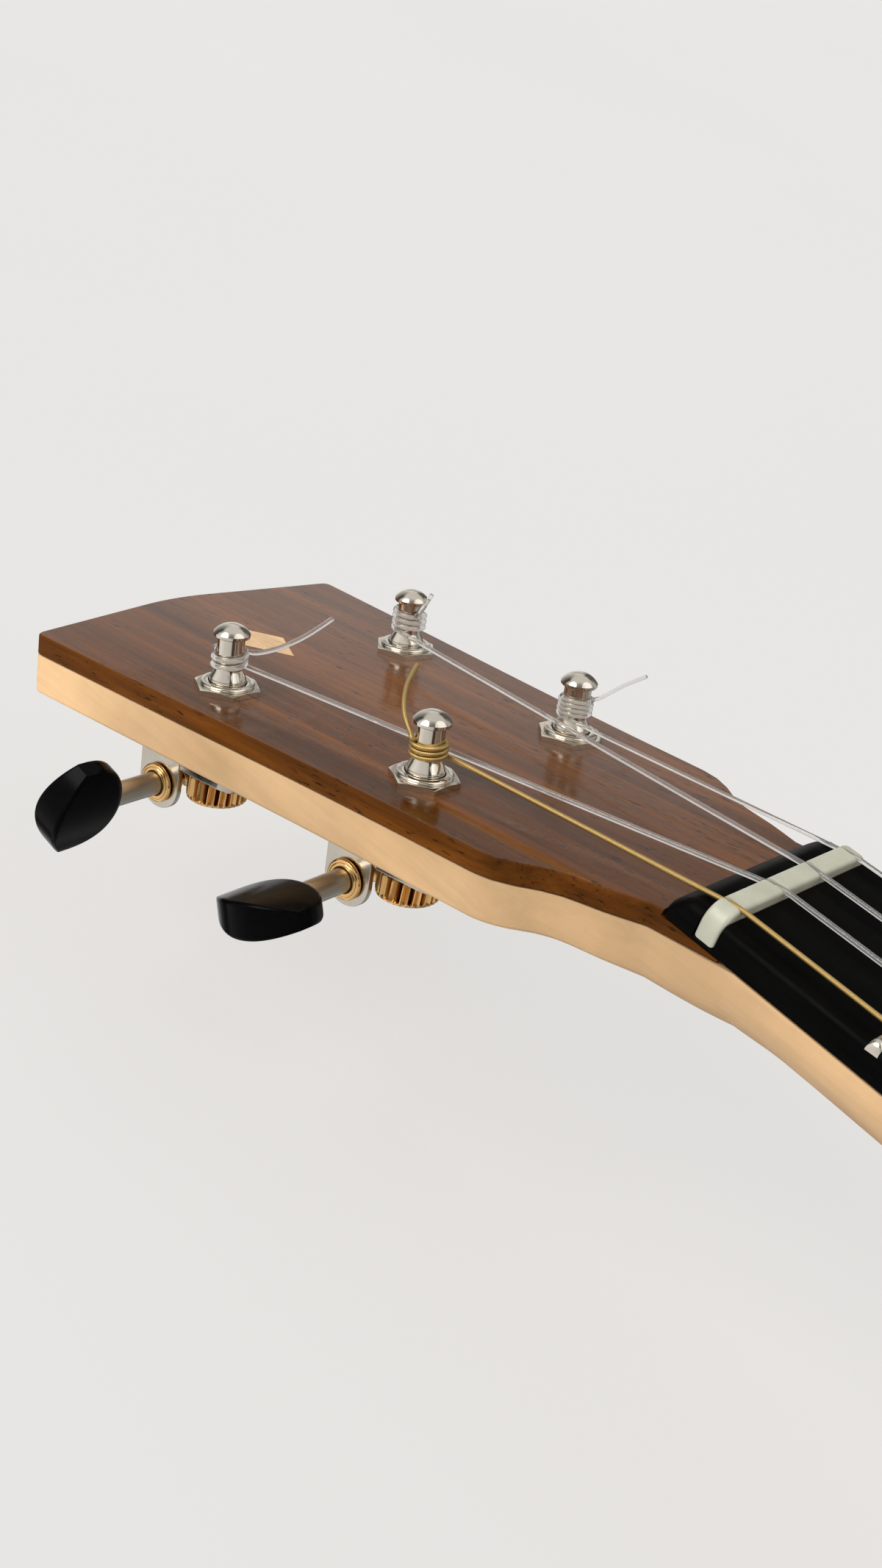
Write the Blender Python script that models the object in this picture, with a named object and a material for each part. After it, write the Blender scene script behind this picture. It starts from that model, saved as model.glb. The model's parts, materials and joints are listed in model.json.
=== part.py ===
"""Tenor ukulele with open worm-gear tuners, modelled at real size.

Metres, +Z up. X runs across the strings (treble side +X), Y runs along the neck towards the
headstock, and the flat back lies on Z = 0 with the origin under the middle of the body.
"""

import math

import bmesh
import bpy
from mathutils import Matrix, Vector

MM = 0.001
CLEAR = 0.3 * MM                    # gap kept between neighbouring solids
RUNNING = 0.1 * MM                  # radial play of a shaft in its bearing

# Strings and frets
SCALE_LENGTH = 431.8 * MM           # 17 inch tenor scale
SADDLE_SETBACK = 2.0 * MM           # extra length at the saddle, for intonation
FRET_COUNT = 18
BODY_FRET = 14                      # fret that lies over the body's edge
STRING_DIAMETER = {"g": 0.80 * MM, "c": 0.92 * MM, "e": 0.80 * MM, "a": 0.66 * MM}
STRING_PLACE = {"g": -1.5, "c": -0.5, "e": 0.5, "a": 1.5}
NUT_STRING_SPACING = 9.3 * MM
SADDLE_STRING_SPACING = 14.0 * MM
STRING_OVER_FRETBOARD = 1.9 * MM    # height of a string's centre over the board at the nut
STRING_OVER_TOP = 11.0 * MM         # height of a string's centre over the soundboard at the saddle

# Body
BODY_LENGTH = 305.0 * MM
BODY_DEPTH = 72.0 * MM
UPPER_BOUT = 170.0 * MM
WAIST = 138.0 * MM
LOWER_BOUT = 226.0 * MM
UPPER_BOUT_FROM_NECK = 62.0 * MM
WAIST_FROM_NECK = 122.0 * MM
LOWER_BOUT_FROM_NECK = 214.0 * MM
NECK_FLAT = 26.0 * MM               # half width of the flat that the heel stands on
TOP_THICKNESS = 2.2 * MM
BACK_THICKNESS = 2.2 * MM
SIDE_THICKNESS = 2.0 * MM
OUTLINE_STEPS = 8                   # points along each quarter of the outline
LINING_WIDTH = 5.0 * MM
LINING_HEIGHT = 9.0 * MM
BLOCK_HALF_WIDTH = 24.0 * MM
NECK_BLOCK_DEPTH = 22.0 * MM
TAIL_BLOCK_DEPTH = 12.0 * MM
SOUND_HOLE_RADIUS = 34.0 * MM
SOUND_HOLE_FROM_NECK = 93.0 * MM
ROSETTE_INNER = 37.0 * MM
ROSETTE_OUTER = 42.5 * MM
ROSETTE_DEPTH = 1.0 * MM
HOLE_SEGMENTS = 32

# Braces under the soundboard and on the back
BRACE_WIDTH = 7.0 * MM
BRACE_HEIGHT = 9.0 * MM
BRACE_END_HEIGHT = 3.0 * MM
BRACE_TAPER = 26.0 * MM
HOLE_TO_BRACE = 9.0 * MM            # sound hole's edge to the nearest brace
FAN_TO_TAIL_BLOCK = 24.8 * MM
FAN_SPREAD = 26.0 * MM
FAN_ANGLE = math.radians(9.0)
FAN_HEIGHT = 6.0 * MM
BRIDGE_PLATE = (104.0 * MM, 30.0 * MM, 2.0 * MM)
BACK_BRACES_FROM_NECK = (84.0 * MM, 176.0 * MM)

# Bridge and saddle
BRIDGE_WIDTH = 92.0 * MM
BRIDGE_LENGTH = 24.0 * MM
BRIDGE_WING = 3.0 * MM
BRIDGE_BLOCK_WIDTH = 60.0 * MM
TIE_BLOCK_HEIGHT = 8.0 * MM
TIE_BLOCK_LENGTH = 8.0 * MM
SADDLE_LENGTH = 54.0 * MM
SADDLE_THICKNESS = 3.0 * MM
SADDLE_BED = 3.2 * MM               # slot floor over the soundboard
SADDLE_SHELF = 6.4 * MM             # wood on either side of the saddle
SADDLE_TO_FRONT = 8.0 * MM          # saddle's middle to the bridge's front edge
TIE_HOLE_HEIGHT = 5.4 * MM
TIE_HOLE_RADIUS = 0.95 * MM

# Neck, fretboard and nut
NUT_HALF_WIDTH = 17.6 * MM
BOARD_BODY_HALF_WIDTH = 22.0 * MM   # half width of the fretboard at the body's edge
BOARD_THICKNESS = 4.6 * MM
BOARD_EDGE = 1.2 * MM               # rounding of the fretboard's long edges
FRET_HEIGHT = 1.0 * MM
FRET_WIDTH = 2.0 * MM
BOARD_PAST_LAST_FRET = 6.0 * MM
NUT_THICKNESS = 3.9 * MM
NUT_HEIGHT = 6.4 * MM               # top of the nut over the neck's top
NUT_SEAT = 1.2 * MM                 # wood left under the nut
LEDGE_LENGTH = 6.4 * MM             # board wood behind the nut
LEDGE_HEIGHT = 4.3 * MM
NECK_THICKNESS_NUT = 14.5 * MM
NECK_THICKNESS_BODY = 17.0 * MM
HEEL_LENGTH = 34.0 * MM
HEEL_TO_BACK = 6.0 * MM             # heel's end over the back's outer face
HEEL_CAP_THICKNESS = 2.0 * MM
HEEL_CAP_LENGTH = 11.0 * MM
HEEL_NARROWING = 0.62               # heel's width at the cap, as a share of the board's
HEEL_FULLNESS = 0.45                # 1 is an ellipse, 0 a box

# Headstock
HEAD_PITCH = math.radians(12.0)
LEDGE_SINK = 0.57 * MM              # faceplate's surface over the neck plane at the ledge
VENEER_THICKNESS = 3.3 * MM
HEAD_THICKNESS = 10.0 * MM
HEAD_BACK_ROUND = 3.4 * MM
HEAD_CORNER = 115.8 * MM            # tip corners, from the ledge
HEAD_TIP_RISE = 7.0 * MM            # how far the tip's arc stands past its corners
THROAT_LENGTH = 15.0 * MM
THROAT_INSET = 3.0 * MM             # throat's end inside the headstock's sides
WEDGE_STEP = 1.0 * MM               # where the core starts, past the neck plane
CORE_SINK = 0.25 * MM
THINNEST_WEDGE = 0.3 * MM
# Half widths of the headstock at distances from the ledge, mm
HEAD_OUTLINE = (
    (0.0, 17.4), (5.7, 19.4), (11.5, 20.9), (14.5, 22.4), (17.2, 24.4), (21.0, 26.2),
    (24.8, 26.6), (36.3, 27.1), (57.3, 28.3), (86.0, 30.4), (115.8, 32.5),
)
INLAY_PLACE = (0.0, 97.0 * MM)
INLAY_HALF = (4.2 * MM, 7.5 * MM)
INLAY_DEPTH = 1.0 * MM

# Tuners: place of each post on the faceplate, from its middle line and from the ledge
POST_PLACE = {
    "g": (-16.56 * MM, 42.62 * MM), "a": (16.56 * MM, 42.62 * MM),
    "c": (-19.96 * MM, 83.00 * MM), "e": (19.96 * MM, 83.00 * MM),
}
POST_RADIUS = 2.6 * MM
POST_CORE_RADIUS = 2.05 * MM
POST_FLARE_RADIUS = 2.95 * MM
POST_CAP_RADIUS = 2.87 * MM
POST_CAP_BASE = 9.2 * MM            # underside of the cap over the faceplate
POST_CAP_RIM = 0.85 * MM
POST_CAP_DOME = 0.95 * MM
POST_FLARE_TOP = 4.2 * MM
POST_SEGMENTS = 16
SPIGOT_RADIUS = 1.5 * MM
POST_NUT_FLATS = 8.9 * MM           # across the flats
POST_NUT_THICKNESS = 1.4 * MM
WASHER_RADIUS = 4.2 * MM
WASHER_THICKNESS = 0.6 * MM
SLEEVE_WALL = 1.1 * MM
SLEEVE_LENGTH = 6.0 * MM

GEAR_TEETH = 16
GEAR_PITCH_RADIUS = 4.5 * MM
GEAR_ADDENDUM = 0.50 * MM
GEAR_DEDENDUM = 0.70 * MM
GEAR_FACE = 4.0 * MM
GEAR_TO_HEAD = 4.3 * MM             # headstock's back to the gear's upper face
TOOTH_SHARE = 0.36                  # tooth's thickness on the pitch line, as a share of the pitch
TOOTH_TIP_SHARE = 0.20
WORM_PITCH_RADIUS = 1.65 * MM
WORM_TURNS = 4
WORM_STEPS = 6                      # rings in each turn of the thread
WORM_SEGMENTS = 12
SHAFT_RADIUS = 2.4 * MM
SHAFT_TANG_RADIUS = 1.5 * MM        # part of the shaft inside the button
INNER_PIVOT_RADIUS = 0.9 * MM

PLATE_THICKNESS = 1.1 * MM
PLATE_PAST_EAR = 0.8 * MM           # plate beyond the ear on the tip side
PLATE_TO_NECK = 12.0 * MM
PLATE_INBOARD = 6.5 * MM
PLATE_OUTBOARD = 9.0 * MM
EAR_OUTBOARD = 7.2 * MM             # post to the ear's outer face
EAR_THICKNESS = 1.0 * MM
EAR_RADIUS = 4.6 * MM
INNER_EAR_RADIUS = 2.6 * MM
COLLAR_RADIUS = 3.6 * MM
COLLAR_LENGTH = 1.4 * MM
TUNER_TURN = math.radians(3.8)      # squares each tuner to the headstock's edge

BUTTON_FROM_EAR = 9.6 * MM          # ear's outer face to the button
BUTTON_LENGTH = 12.8 * MM
BUTTON_CORNER = 8.75 * MM           # button's inner end to its corners
BUTTON_HALF_WIDTH = 8.2 * MM
BUTTON_THICKNESS = 5.8 * MM
BUTTON_CORNER_THICKNESS = 2.7 * MM
BUTTON_FULLNESS = 0.6
BUTTON_TURN = {"g": 16.0, "c": 69.0, "e": 25.0, "a": -50.0}    # rest turn of each button, degrees

WINDING_TURNS = {"g": 3, "c": 2, "e": 3, "a": 3}        # whole turns
WINDING_STEPS = 24
WINDING_GAP = 0.42 * MM             # least gap between one turn and the next
WINDING_BASE = 4.75 * MM            # lowest turn's centre over the faceplate
# Each tail: length mm, rise mm, and how far it curls over its length, degrees
WINDING_TAIL = {
    "g": (17.0, 2.0, -60.0), "c": (18.0, 2.4, 20.0),
    "e": (8.0, 1.5, -10.0), "a": (14.0, 1.0, 15.0),
}
TAIL_HEADING = {"g": 105.0, "c": 5.0, "e": 60.0, "a": -8.0}      # from +X on the faceplate, degrees


def fret_distance(number):
    """Distance from the nut to a fret in equal temperament."""
    return SCALE_LENGTH * (1.0 - 2.0 ** (-number / 12.0))


BODY_END = BODY_LENGTH / 2
NECK_PLANE = BODY_DEPTH
NUT_FRONT = BODY_END + fret_distance(BODY_FRET)
NUT_BACK = NUT_FRONT + NUT_THICKNESS
LEDGE_END = NUT_BACK + CLEAR + LEDGE_LENGTH
BOARD_END = NUT_FRONT - fret_distance(FRET_COUNT) - BOARD_PAST_LAST_FRET
SADDLE_Y = NUT_FRONT - SCALE_LENGTH - SADDLE_SETBACK
BOARD_BOTTOM = NECK_PLANE + CLEAR
BOARD_TOP = BOARD_BOTTOM + BOARD_THICKNESS

HEAD_ORIGIN = Vector((0.0, LEDGE_END, NECK_PLANE + LEDGE_SINK))
HEAD_FRAME = Matrix.Translation(HEAD_ORIGIN) @ Matrix.Rotation(-HEAD_PITCH, 4, "X")
CORE_TOP = -VENEER_THICKNESS - CLEAR        # maple's upper face, in the head frame
HEAD_BACK = -HEAD_THICKNESS

WORM_OFFSET = GEAR_PITCH_RADIUS + WORM_PITCH_RADIUS
GEAR_TOP = HEAD_BACK - GEAR_TO_HEAD
GEAR_MIDDLE = GEAR_TOP - GEAR_FACE / 2
AXIAL_PITCH = 2.0 * math.pi * GEAR_PITCH_RADIUS / GEAR_TEETH
THREAD_LEAN = math.atan(AXIAL_PITCH / (2.0 * math.pi * WORM_PITCH_RADIUS))
PLATE_TOP = HEAD_BACK - CLEAR
PLATE_BOTTOM = PLATE_TOP - PLATE_THICKNESS

MATERIALS = {
    "rosewood": ((0.165, 0.062, 0.030), 0.28, 0.0),
    "spruce": ((0.62, 0.44, 0.25), 0.6, 0.0),
    "maple": ((0.66, 0.43, 0.22), 0.5, 0.0),
    "ebony": ((0.012, 0.011, 0.011), 0.4, 0.0),
    "bone": ((0.72, 0.72, 0.58), 0.4, 0.0),
    "nickel": ((0.72, 0.70, 0.66), 0.18, 1.0),
    "bronze": ((0.78, 0.45, 0.16), 0.25, 1.0),
    "black_plastic": ((0.008, 0.008, 0.009), 0.25, 0.0),
    "wound_string": ((0.55, 0.36, 0.09), 0.35, 1.0),
    "clear_string": ((0.78, 0.76, 0.72), 0.15, 0.0),
}


def material(name):
    """The named finish, made once."""
    found = bpy.data.materials.get(name)
    if found:
        return found
    colour, roughness, metallic = MATERIALS[name]
    made = bpy.data.materials.new(name)
    made.use_nodes = True
    shader = made.node_tree.nodes["Principled BSDF"]
    shader.inputs["Base Color"].default_value = (*colour, 1.0)
    shader.inputs["Roughness"].default_value = roughness
    shader.inputs["Metallic"].default_value = metallic
    return made


def clear_scene():
    for item in list(bpy.data.objects):
        bpy.data.objects.remove(item, do_unlink=True)


def add_object(name, shape, finish, place=None, smooth_angle=None, parent=None):
    """Turn a bmesh into a named object, with its origin at the given place."""
    bmesh.ops.recalc_face_normals(shape, faces=shape.faces)
    if shape.calc_volume(signed=True) < 0.0:
        bmesh.ops.reverse_faces(shape, faces=shape.faces)
    mesh = bpy.data.meshes.new(name)
    shape.to_mesh(mesh)
    shape.free()
    if smooth_angle is not None:
        mesh.shade_smooth()
        mesh.set_sharp_from_angle(angle=math.radians(smooth_angle))
    mesh.materials.append(material(finish))
    item = bpy.data.objects.new(name, mesh)
    bpy.context.scene.collection.objects.link(item)
    if parent:
        item.parent = parent
    if place:
        item.matrix_local = place
    return item


def add_cutter(name, shape, place=None, parent=None):
    """A helper solid that shapes another one and isn't a piece itself."""
    item = add_object(name, shape, "maple", place, None, parent)
    item.hide_render = True
    item.display_type = "WIRE"
    return item


def combine(item, other, operation):
    step = item.modifiers.new(operation.title() + " " + other.name, "BOOLEAN")
    step.operation = operation
    step.object = other
    step.solver = "EXACT"


def add_axis(name, place, parent=None):
    """An empty on a joint's axis."""
    item = bpy.data.objects.new(name, None)
    item.empty_display_size = 0.01
    bpy.context.scene.collection.objects.link(item)
    if parent:
        item.parent = parent
    item.matrix_local = place
    return item


def prism(outline, low, high):
    """Extrude a flat outline from one height to another."""
    shape = bmesh.new()
    face = shape.faces.new([shape.verts.new((x, y, low)) for x, y in outline])
    grown = bmesh.ops.extrude_face_region(shape, geom=[face])
    moved = [v for v in grown["geom"] if isinstance(v, bmesh.types.BMVert)]
    bmesh.ops.translate(shape, verts=moved, vec=(0.0, 0.0, high - low))
    return shape


def loft(rings):
    """Join closed rings of equally many points and cap both ends."""
    shape = bmesh.new()
    loops = [[shape.verts.new(point) for point in ring] for ring in rings]
    for before, after in zip(loops, loops[1:]):
        count = len(before)
        for i in range(count):
            j = (i + 1) % count
            shape.faces.new((before[i], before[j], after[j], after[i]))
    shape.faces.new(loops[0])
    shape.faces.new(loops[-1])
    return shape


def turned(profile, segments, axis="Z"):
    """Spin a profile of (radius, height) that starts and ends on the axis, or closes on itself."""
    shape = bmesh.new()
    points = [shape.verts.new((radius, 0.0, height)) for radius, height in profile]
    edges = [shape.edges.new(pair) for pair in zip(points, points[1:])]
    if profile[0][0] > 0.0:
        edges.append(shape.edges.new((points[-1], points[0])))
    bmesh.ops.spin(shape, geom=points + edges, cent=(0, 0, 0), axis=(0, 0, 1),
                   angle=2.0 * math.pi, steps=segments, use_merge=True)
    bmesh.ops.remove_doubles(shape, verts=shape.verts, dist=0.00001)
    if axis == "X":
        bmesh.ops.rotate(shape, verts=shape.verts, matrix=Matrix.Rotation(math.pi / 2, 3, "Y"))
    return shape


def rod(radius, low, high, segments):
    return turned([(0.0, low), (radius, low), (radius, high), (0.0, high)], segments)


def circle(radius, segments, start=0.0):
    return [(radius * math.cos(start + 2 * math.pi * i / segments),
             radius * math.sin(start + 2 * math.pi * i / segments)) for i in range(segments)]


def cubic(ends, t):
    """Point on a Bezier curve."""
    a, b, c, d = (Vector(p) for p in ends)
    s = 1.0 - t
    return a * s ** 3 + b * 3 * s * s * t + c * 3 * s * t * t + d * t ** 3


def blend(t):
    """Smooth step from 0 to 1."""
    t = min(max(t, 0.0), 1.0)
    return t * t * (3.0 - 2.0 * t)


def interpolate(table, x):
    """Straight-line value between the pairs of a table."""
    for (x0, y0), (x1, y1) in zip(table, table[1:]):
        if x <= x1:
            return y0 + (y1 - y0) * max(0.0, x - x0) / (x1 - x0)
    return table[-1][1]


def half_outline(inset=0.0):
    """Treble half of the body's outline, from the neck end to the tail, moved inwards."""
    upper = (UPPER_BOUT / 2, BODY_END - UPPER_BOUT_FROM_NECK)
    waist = (WAIST / 2, BODY_END - WAIST_FROM_NECK)
    lower = (LOWER_BOUT / 2, BODY_END - LOWER_BOUT_FROM_NECK)
    tail = (0.0, -BODY_END)
    start = (NECK_FLAT, BODY_END)
    shoulder = (upper[0] - start[0]) * 0.62
    drop = (start[1] - upper[1]) * 0.55
    reach = (upper[1] - waist[1]) * 0.42
    swell = (waist[1] - lower[1]) * 0.42
    bottom = (lower[1] - tail[1]) * 0.58
    curves = (
        (start, (start[0] + shoulder, start[1]), (upper[0], upper[1] + drop), upper),
        (upper, (upper[0], upper[1] - reach), (waist[0], waist[1] + reach), waist),
        (waist, (waist[0], waist[1] - swell), (lower[0], lower[1] + swell), lower),
        (lower, (lower[0], lower[1] - bottom), (lower[0] * 0.55, tail[1]), tail),
    )
    points = [Vector((0.0, BODY_END)), Vector(start)]
    for ends in curves:
        points += [cubic(ends, i / OUTLINE_STEPS) for i in range(1, OUTLINE_STEPS + 1)]
    moved = []
    for i, point in enumerate(points):
        before = points[max(i - 1, 0)]
        after = points[min(i + 1, len(points) - 1)]
        along = (after - before).normalized()
        if i in (0, len(points) - 1):
            along = Vector((1.0 if i == 0 else -1.0, 0.0))
        moved.append(point + Vector((along.y, -along.x)) * inset)
    return moved


def full_outline(inset=0.0):
    right = half_outline(inset)
    left = [Vector((-p.x, p.y)) for p in reversed(right[1:-1])]
    return right + left


def half_width_at(y, inset):
    """Half width of the body's outline at a place along it."""
    points = half_outline(inset)
    for a, b in zip(points, points[1:]):
        if b.y <= y <= a.y and a.y > b.y:
            return a.x + (b.x - a.x) * (a.y - y) / (a.y - b.y)
    return 0.0


INSIDE_LOW = BACK_THICKNESS + CLEAR
INSIDE_HIGH = BODY_DEPTH - TOP_THICKNESS - CLEAR


def build_body_shell():
    top = add_object("soundboard", prism(full_outline(), BODY_DEPTH - TOP_THICKNESS, BODY_DEPTH),
                     "rosewood")
    hole_y = BODY_END - SOUND_HOLE_FROM_NECK
    place = Matrix.Translation((0.0, hole_y, BODY_DEPTH))
    hole = add_cutter("sound_hole_cutter",
                      rod(SOUND_HOLE_RADIUS, -2 * TOP_THICKNESS, TOP_THICKNESS, HOLE_SEGMENTS), place)
    combine(top, hole, "DIFFERENCE")
    groove = ring(ROSETTE_INNER - CLEAR, ROSETTE_OUTER + CLEAR, -ROSETTE_DEPTH - CLEAR, TOP_THICKNESS)
    combine(top, add_cutter("rosette_cutter", groove, place), "DIFFERENCE")
    add_object("rosette", ring(ROSETTE_INNER, ROSETTE_OUTER, -ROSETTE_DEPTH, 0.0), "maple", place)
    add_object("back_panel", prism(full_outline(), 0.0, BACK_THICKNESS), "rosewood")
    for side, sign in (("bass", -1), ("treble", 1)):
        outer = half_outline()
        inner = half_outline(SIDE_THICKNESS)
        loop = [(max(p.x, CLEAR / 2) * sign, p.y) for p in outer + inner[::-1]]
        add_object("side_" + side, prism(loop, INSIDE_LOW, INSIDE_HIGH), "rosewood", None, 30)


def ring(inner, outer, low, high):
    return turned([(inner, low), (outer, low), (outer, high), (inner, high)], HOLE_SEGMENTS)


def block_outline(depth, at_neck):
    """Outline of an end block that follows the inside of the ribs."""
    wall = half_outline(SIDE_THICKNESS + CLEAR)
    points = wall if at_neck else wall[::-1]
    edge = BLOCK_HALF_WIDTH
    count = next(i for i, p in enumerate(points) if p.x > edge)
    kept = points[:count]
    after = points[count]
    last = kept[-1]
    share = (edge - last.x) / (after.x - last.x)
    kept.append(last + (after - last) * share)
    inner_y = kept[0].y + (-depth if at_neck else depth)
    half = [(p.x, p.y) for p in kept] + [(edge, inner_y)]
    return half + [(-x, y) for x, y in reversed(half[1:])]


def build_blocks():
    for name, depth, at_neck in (("neck_block", NECK_BLOCK_DEPTH, True),
                                 ("tail_block", TAIL_BLOCK_DEPTH, False)):
        add_object(name, prism(block_outline(depth, at_neck), INSIDE_LOW, INSIDE_HIGH), "spruce")


def build_linings():
    outer_inset = SIDE_THICKNESS + CLEAR
    limit = BLOCK_HALF_WIDTH + CLEAR
    outer = half_outline(outer_inset)
    inner = half_outline(outer_inset + LINING_WIDTH)
    kept = [i for i in range(len(outer)) if min(outer[i].x, inner[i].x) > limit]
    for level, low, high in (("top", INSIDE_HIGH - LINING_HEIGHT, INSIDE_HIGH),
                             ("back", INSIDE_LOW, INSIDE_LOW + LINING_HEIGHT)):
        for side, sign in (("bass", -1), ("treble", 1)):
            loop = [(outer[i].x * sign, outer[i].y) for i in kept]
            loop += [(inner[i].x * sign, inner[i].y) for i in reversed(kept)]
            add_object(f"{level}_lining_{side}", prism(loop, low, high), "spruce", None, 30)


def brace(name, length, height, place, taper):
    """A bar whose two ends are pared down; its flat side is up at local Z = 0."""
    end = min(BRACE_END_HEIGHT, height)
    profile = [(-length / 2, 0.0), (length / 2, 0.0), (length / 2, -end), (length / 2 - taper, -height),
               (-length / 2 + taper, -height), (-length / 2, -end)]
    shape = prism(profile, -BRACE_WIDTH / 2, BRACE_WIDTH / 2)
    bmesh.ops.rotate(shape, verts=shape.verts, matrix=Matrix.Rotation(math.pi / 2, 3, "X"))
    add_object(name, shape, "spruce", place)


def build_braces():
    inset = SIDE_THICKNESS + LINING_WIDTH + 2 * CLEAR
    hole_y = BODY_END - SOUND_HOLE_FROM_NECK
    reach = ROSETTE_OUTER + HOLE_TO_BRACE
    under_top = INSIDE_HIGH

    def across(y):
        half = min(half_width_at(y - BRACE_WIDTH / 2, inset), half_width_at(y + BRACE_WIDTH / 2, inset))
        return 2 * (half - CLEAR)

    for name, y in (("upper_brace", hole_y + reach), ("lower_brace", hole_y - reach)):
        brace(name, across(y), BRACE_HEIGHT, Matrix.Translation((0.0, y, under_top)), BRACE_TAPER)
    over_back = INSIDE_LOW
    flip = Matrix.Rotation(math.pi, 4, "X")
    for name, distance in zip(("upper_back_brace", "lower_back_brace"), BACK_BRACES_FROM_NECK):
        y = BODY_END - distance
        brace(name, across(y), BRACE_HEIGHT, Matrix.Translation((0.0, y, over_back)) @ flip, BRACE_TAPER)
    width, length, thickness = BRIDGE_PLATE
    plate_y = SADDLE_Y + SADDLE_TO_FRONT - BRIDGE_LENGTH / 2
    outline = [(-width / 2, plate_y - length / 2), (width / 2, plate_y - length / 2),
               (width / 2, plate_y + length / 2), (-width / 2, plate_y + length / 2)]
    add_object("bridge_plate", prism(outline, under_top - thickness, under_top), "maple")
    fan_start = plate_y - length / 2 - 2 * CLEAR
    tail_block_face = -BODY_END + SIDE_THICKNESS + CLEAR + TAIL_BLOCK_DEPTH
    fan_length = fan_start - tail_block_face - FAN_TO_TAIL_BLOCK
    fan_y = fan_start - fan_length / 2
    for name, step in (("fan_brace_bass", -1), ("fan_brace_middle", 0), ("fan_brace_treble", 1)):
        turn = Matrix.Rotation(math.pi / 2 + step * FAN_ANGLE, 4, "Z")
        shift = abs(step) * BRACE_WIDTH / 2 * math.sin(FAN_ANGLE)
        place = Matrix.Translation((step * FAN_SPREAD, fan_y - shift, under_top)) @ turn
        brace(name, fan_length, FAN_HEIGHT, place, fan_length / 3)


def build_bridge():
    """Tie bridge: a low base, a raised middle with the saddle's slot, and the block the strings tie to."""
    front = SADDLE_TO_FRONT
    rear = front - BRIDGE_LENGTH
    round_by = 3.0 * MM
    half = BRIDGE_WIDTH / 2
    base = []
    for cx, cy, start in ((half - round_by, front - round_by, 0), (-half + round_by, front - round_by, 90),
                          (-half + round_by, rear + round_by, 180), (half - round_by, rear + round_by, 270)):
        for step in range(4):
            angle = math.radians(start + 30 * step)
            base.append((cx + round_by * math.cos(angle), cy + round_by * math.sin(angle)))
    place = Matrix.Translation((0.0, SADDLE_Y, BODY_DEPTH + CLEAR))
    bridge = add_object("bridge", prism(base, 0.0, BRIDGE_WING), "ebony", place)
    slot = SADDLE_THICKNESS / 2 + CLEAR
    sunk = BRIDGE_WING / 2
    tie_front = rear + TIE_BLOCK_LENGTH + 1.0 * MM
    profile = [(front - 1.0 * MM, sunk), (front - 1.0 * MM, BRIDGE_WING + 0.6 * MM),
               (slot + 2.0 * MM, SADDLE_SHELF), (slot, SADDLE_SHELF), (slot, SADDLE_BED),
               (-slot, SADDLE_BED), (-slot, SADDLE_SHELF - 1.0 * MM),
               (tie_front, SADDLE_SHELF - 2.6 * MM), (tie_front, TIE_BLOCK_HEIGHT - 0.6 * MM),
               (tie_front - 0.6 * MM, TIE_BLOCK_HEIGHT), (rear + 1.6 * MM, TIE_BLOCK_HEIGHT),
               (rear + 1.0 * MM, TIE_BLOCK_HEIGHT - 0.6 * MM), (rear + 1.0 * MM, sunk)]
    block = prism(profile, -BRIDGE_BLOCK_WIDTH / 2, BRIDGE_BLOCK_WIDTH / 2)
    turn = Matrix(((0, 0, 1), (1, 0, 0), (0, 1, 0)))
    bmesh.ops.transform(block, verts=block.verts, matrix=turn.to_4x4())
    combine(bridge, add_cutter("bridge_block", block, place), "UNION")
    for key, step in STRING_PLACE.items():
        hole = rod(TIE_HOLE_RADIUS, rear - 1.0 * MM, tie_front + 1.0 * MM, 8)
        turn_y = Matrix.Rotation(-math.pi / 2, 4, "X")
        spot = Matrix.Translation((step * SADDLE_STRING_SPACING, SADDLE_Y, BODY_DEPTH + TIE_HOLE_HEIGHT))
        combine(bridge, add_cutter("tie_hole_" + key, hole, spot @ turn_y), "DIFFERENCE")
    saddle_top = STRING_OVER_TOP - max(STRING_DIAMETER.values()) / 2 - CLEAR
    low = SADDLE_BED + 2 * CLEAR
    t = SADDLE_THICKNESS / 2
    outline = [(-t, low), (t, low), (t, saddle_top - 1.0 * MM), (t * 0.5, saddle_top - 0.25 * MM),
               (0.0, saddle_top), (-t * 0.5, saddle_top - 0.25 * MM), (-t, saddle_top - 1.0 * MM)]
    saddle = prism(outline, -SADDLE_LENGTH / 2, SADDLE_LENGTH / 2)
    bmesh.ops.transform(saddle, verts=saddle.verts, matrix=turn.to_4x4())
    add_object("saddle", saddle, "bone", Matrix.Translation((0.0, SADDLE_Y, BODY_DEPTH)))


def board_half_width(y):
    """The fretboard widens from the nut towards the body."""
    rate = (BOARD_BODY_HALF_WIDTH - NUT_HALF_WIDTH) / (NUT_FRONT - BODY_END)
    return NUT_HALF_WIDTH + (NUT_FRONT - y) * rate


def board_section(y, top):
    """One cross-section of the fretboard, with its two upper edges rounded."""
    half = board_half_width(y)
    edge = min(BOARD_EDGE, (top - BOARD_BOTTOM) * 0.6)
    right = [(half, BOARD_BOTTOM), (half, top - edge), (half - edge * 0.3, top - edge * 0.3),
             (half - edge, top)]
    return [Vector((x, y, z)) for x, z in right] + [Vector((-x, y, z)) for x, z in reversed(right)]


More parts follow.
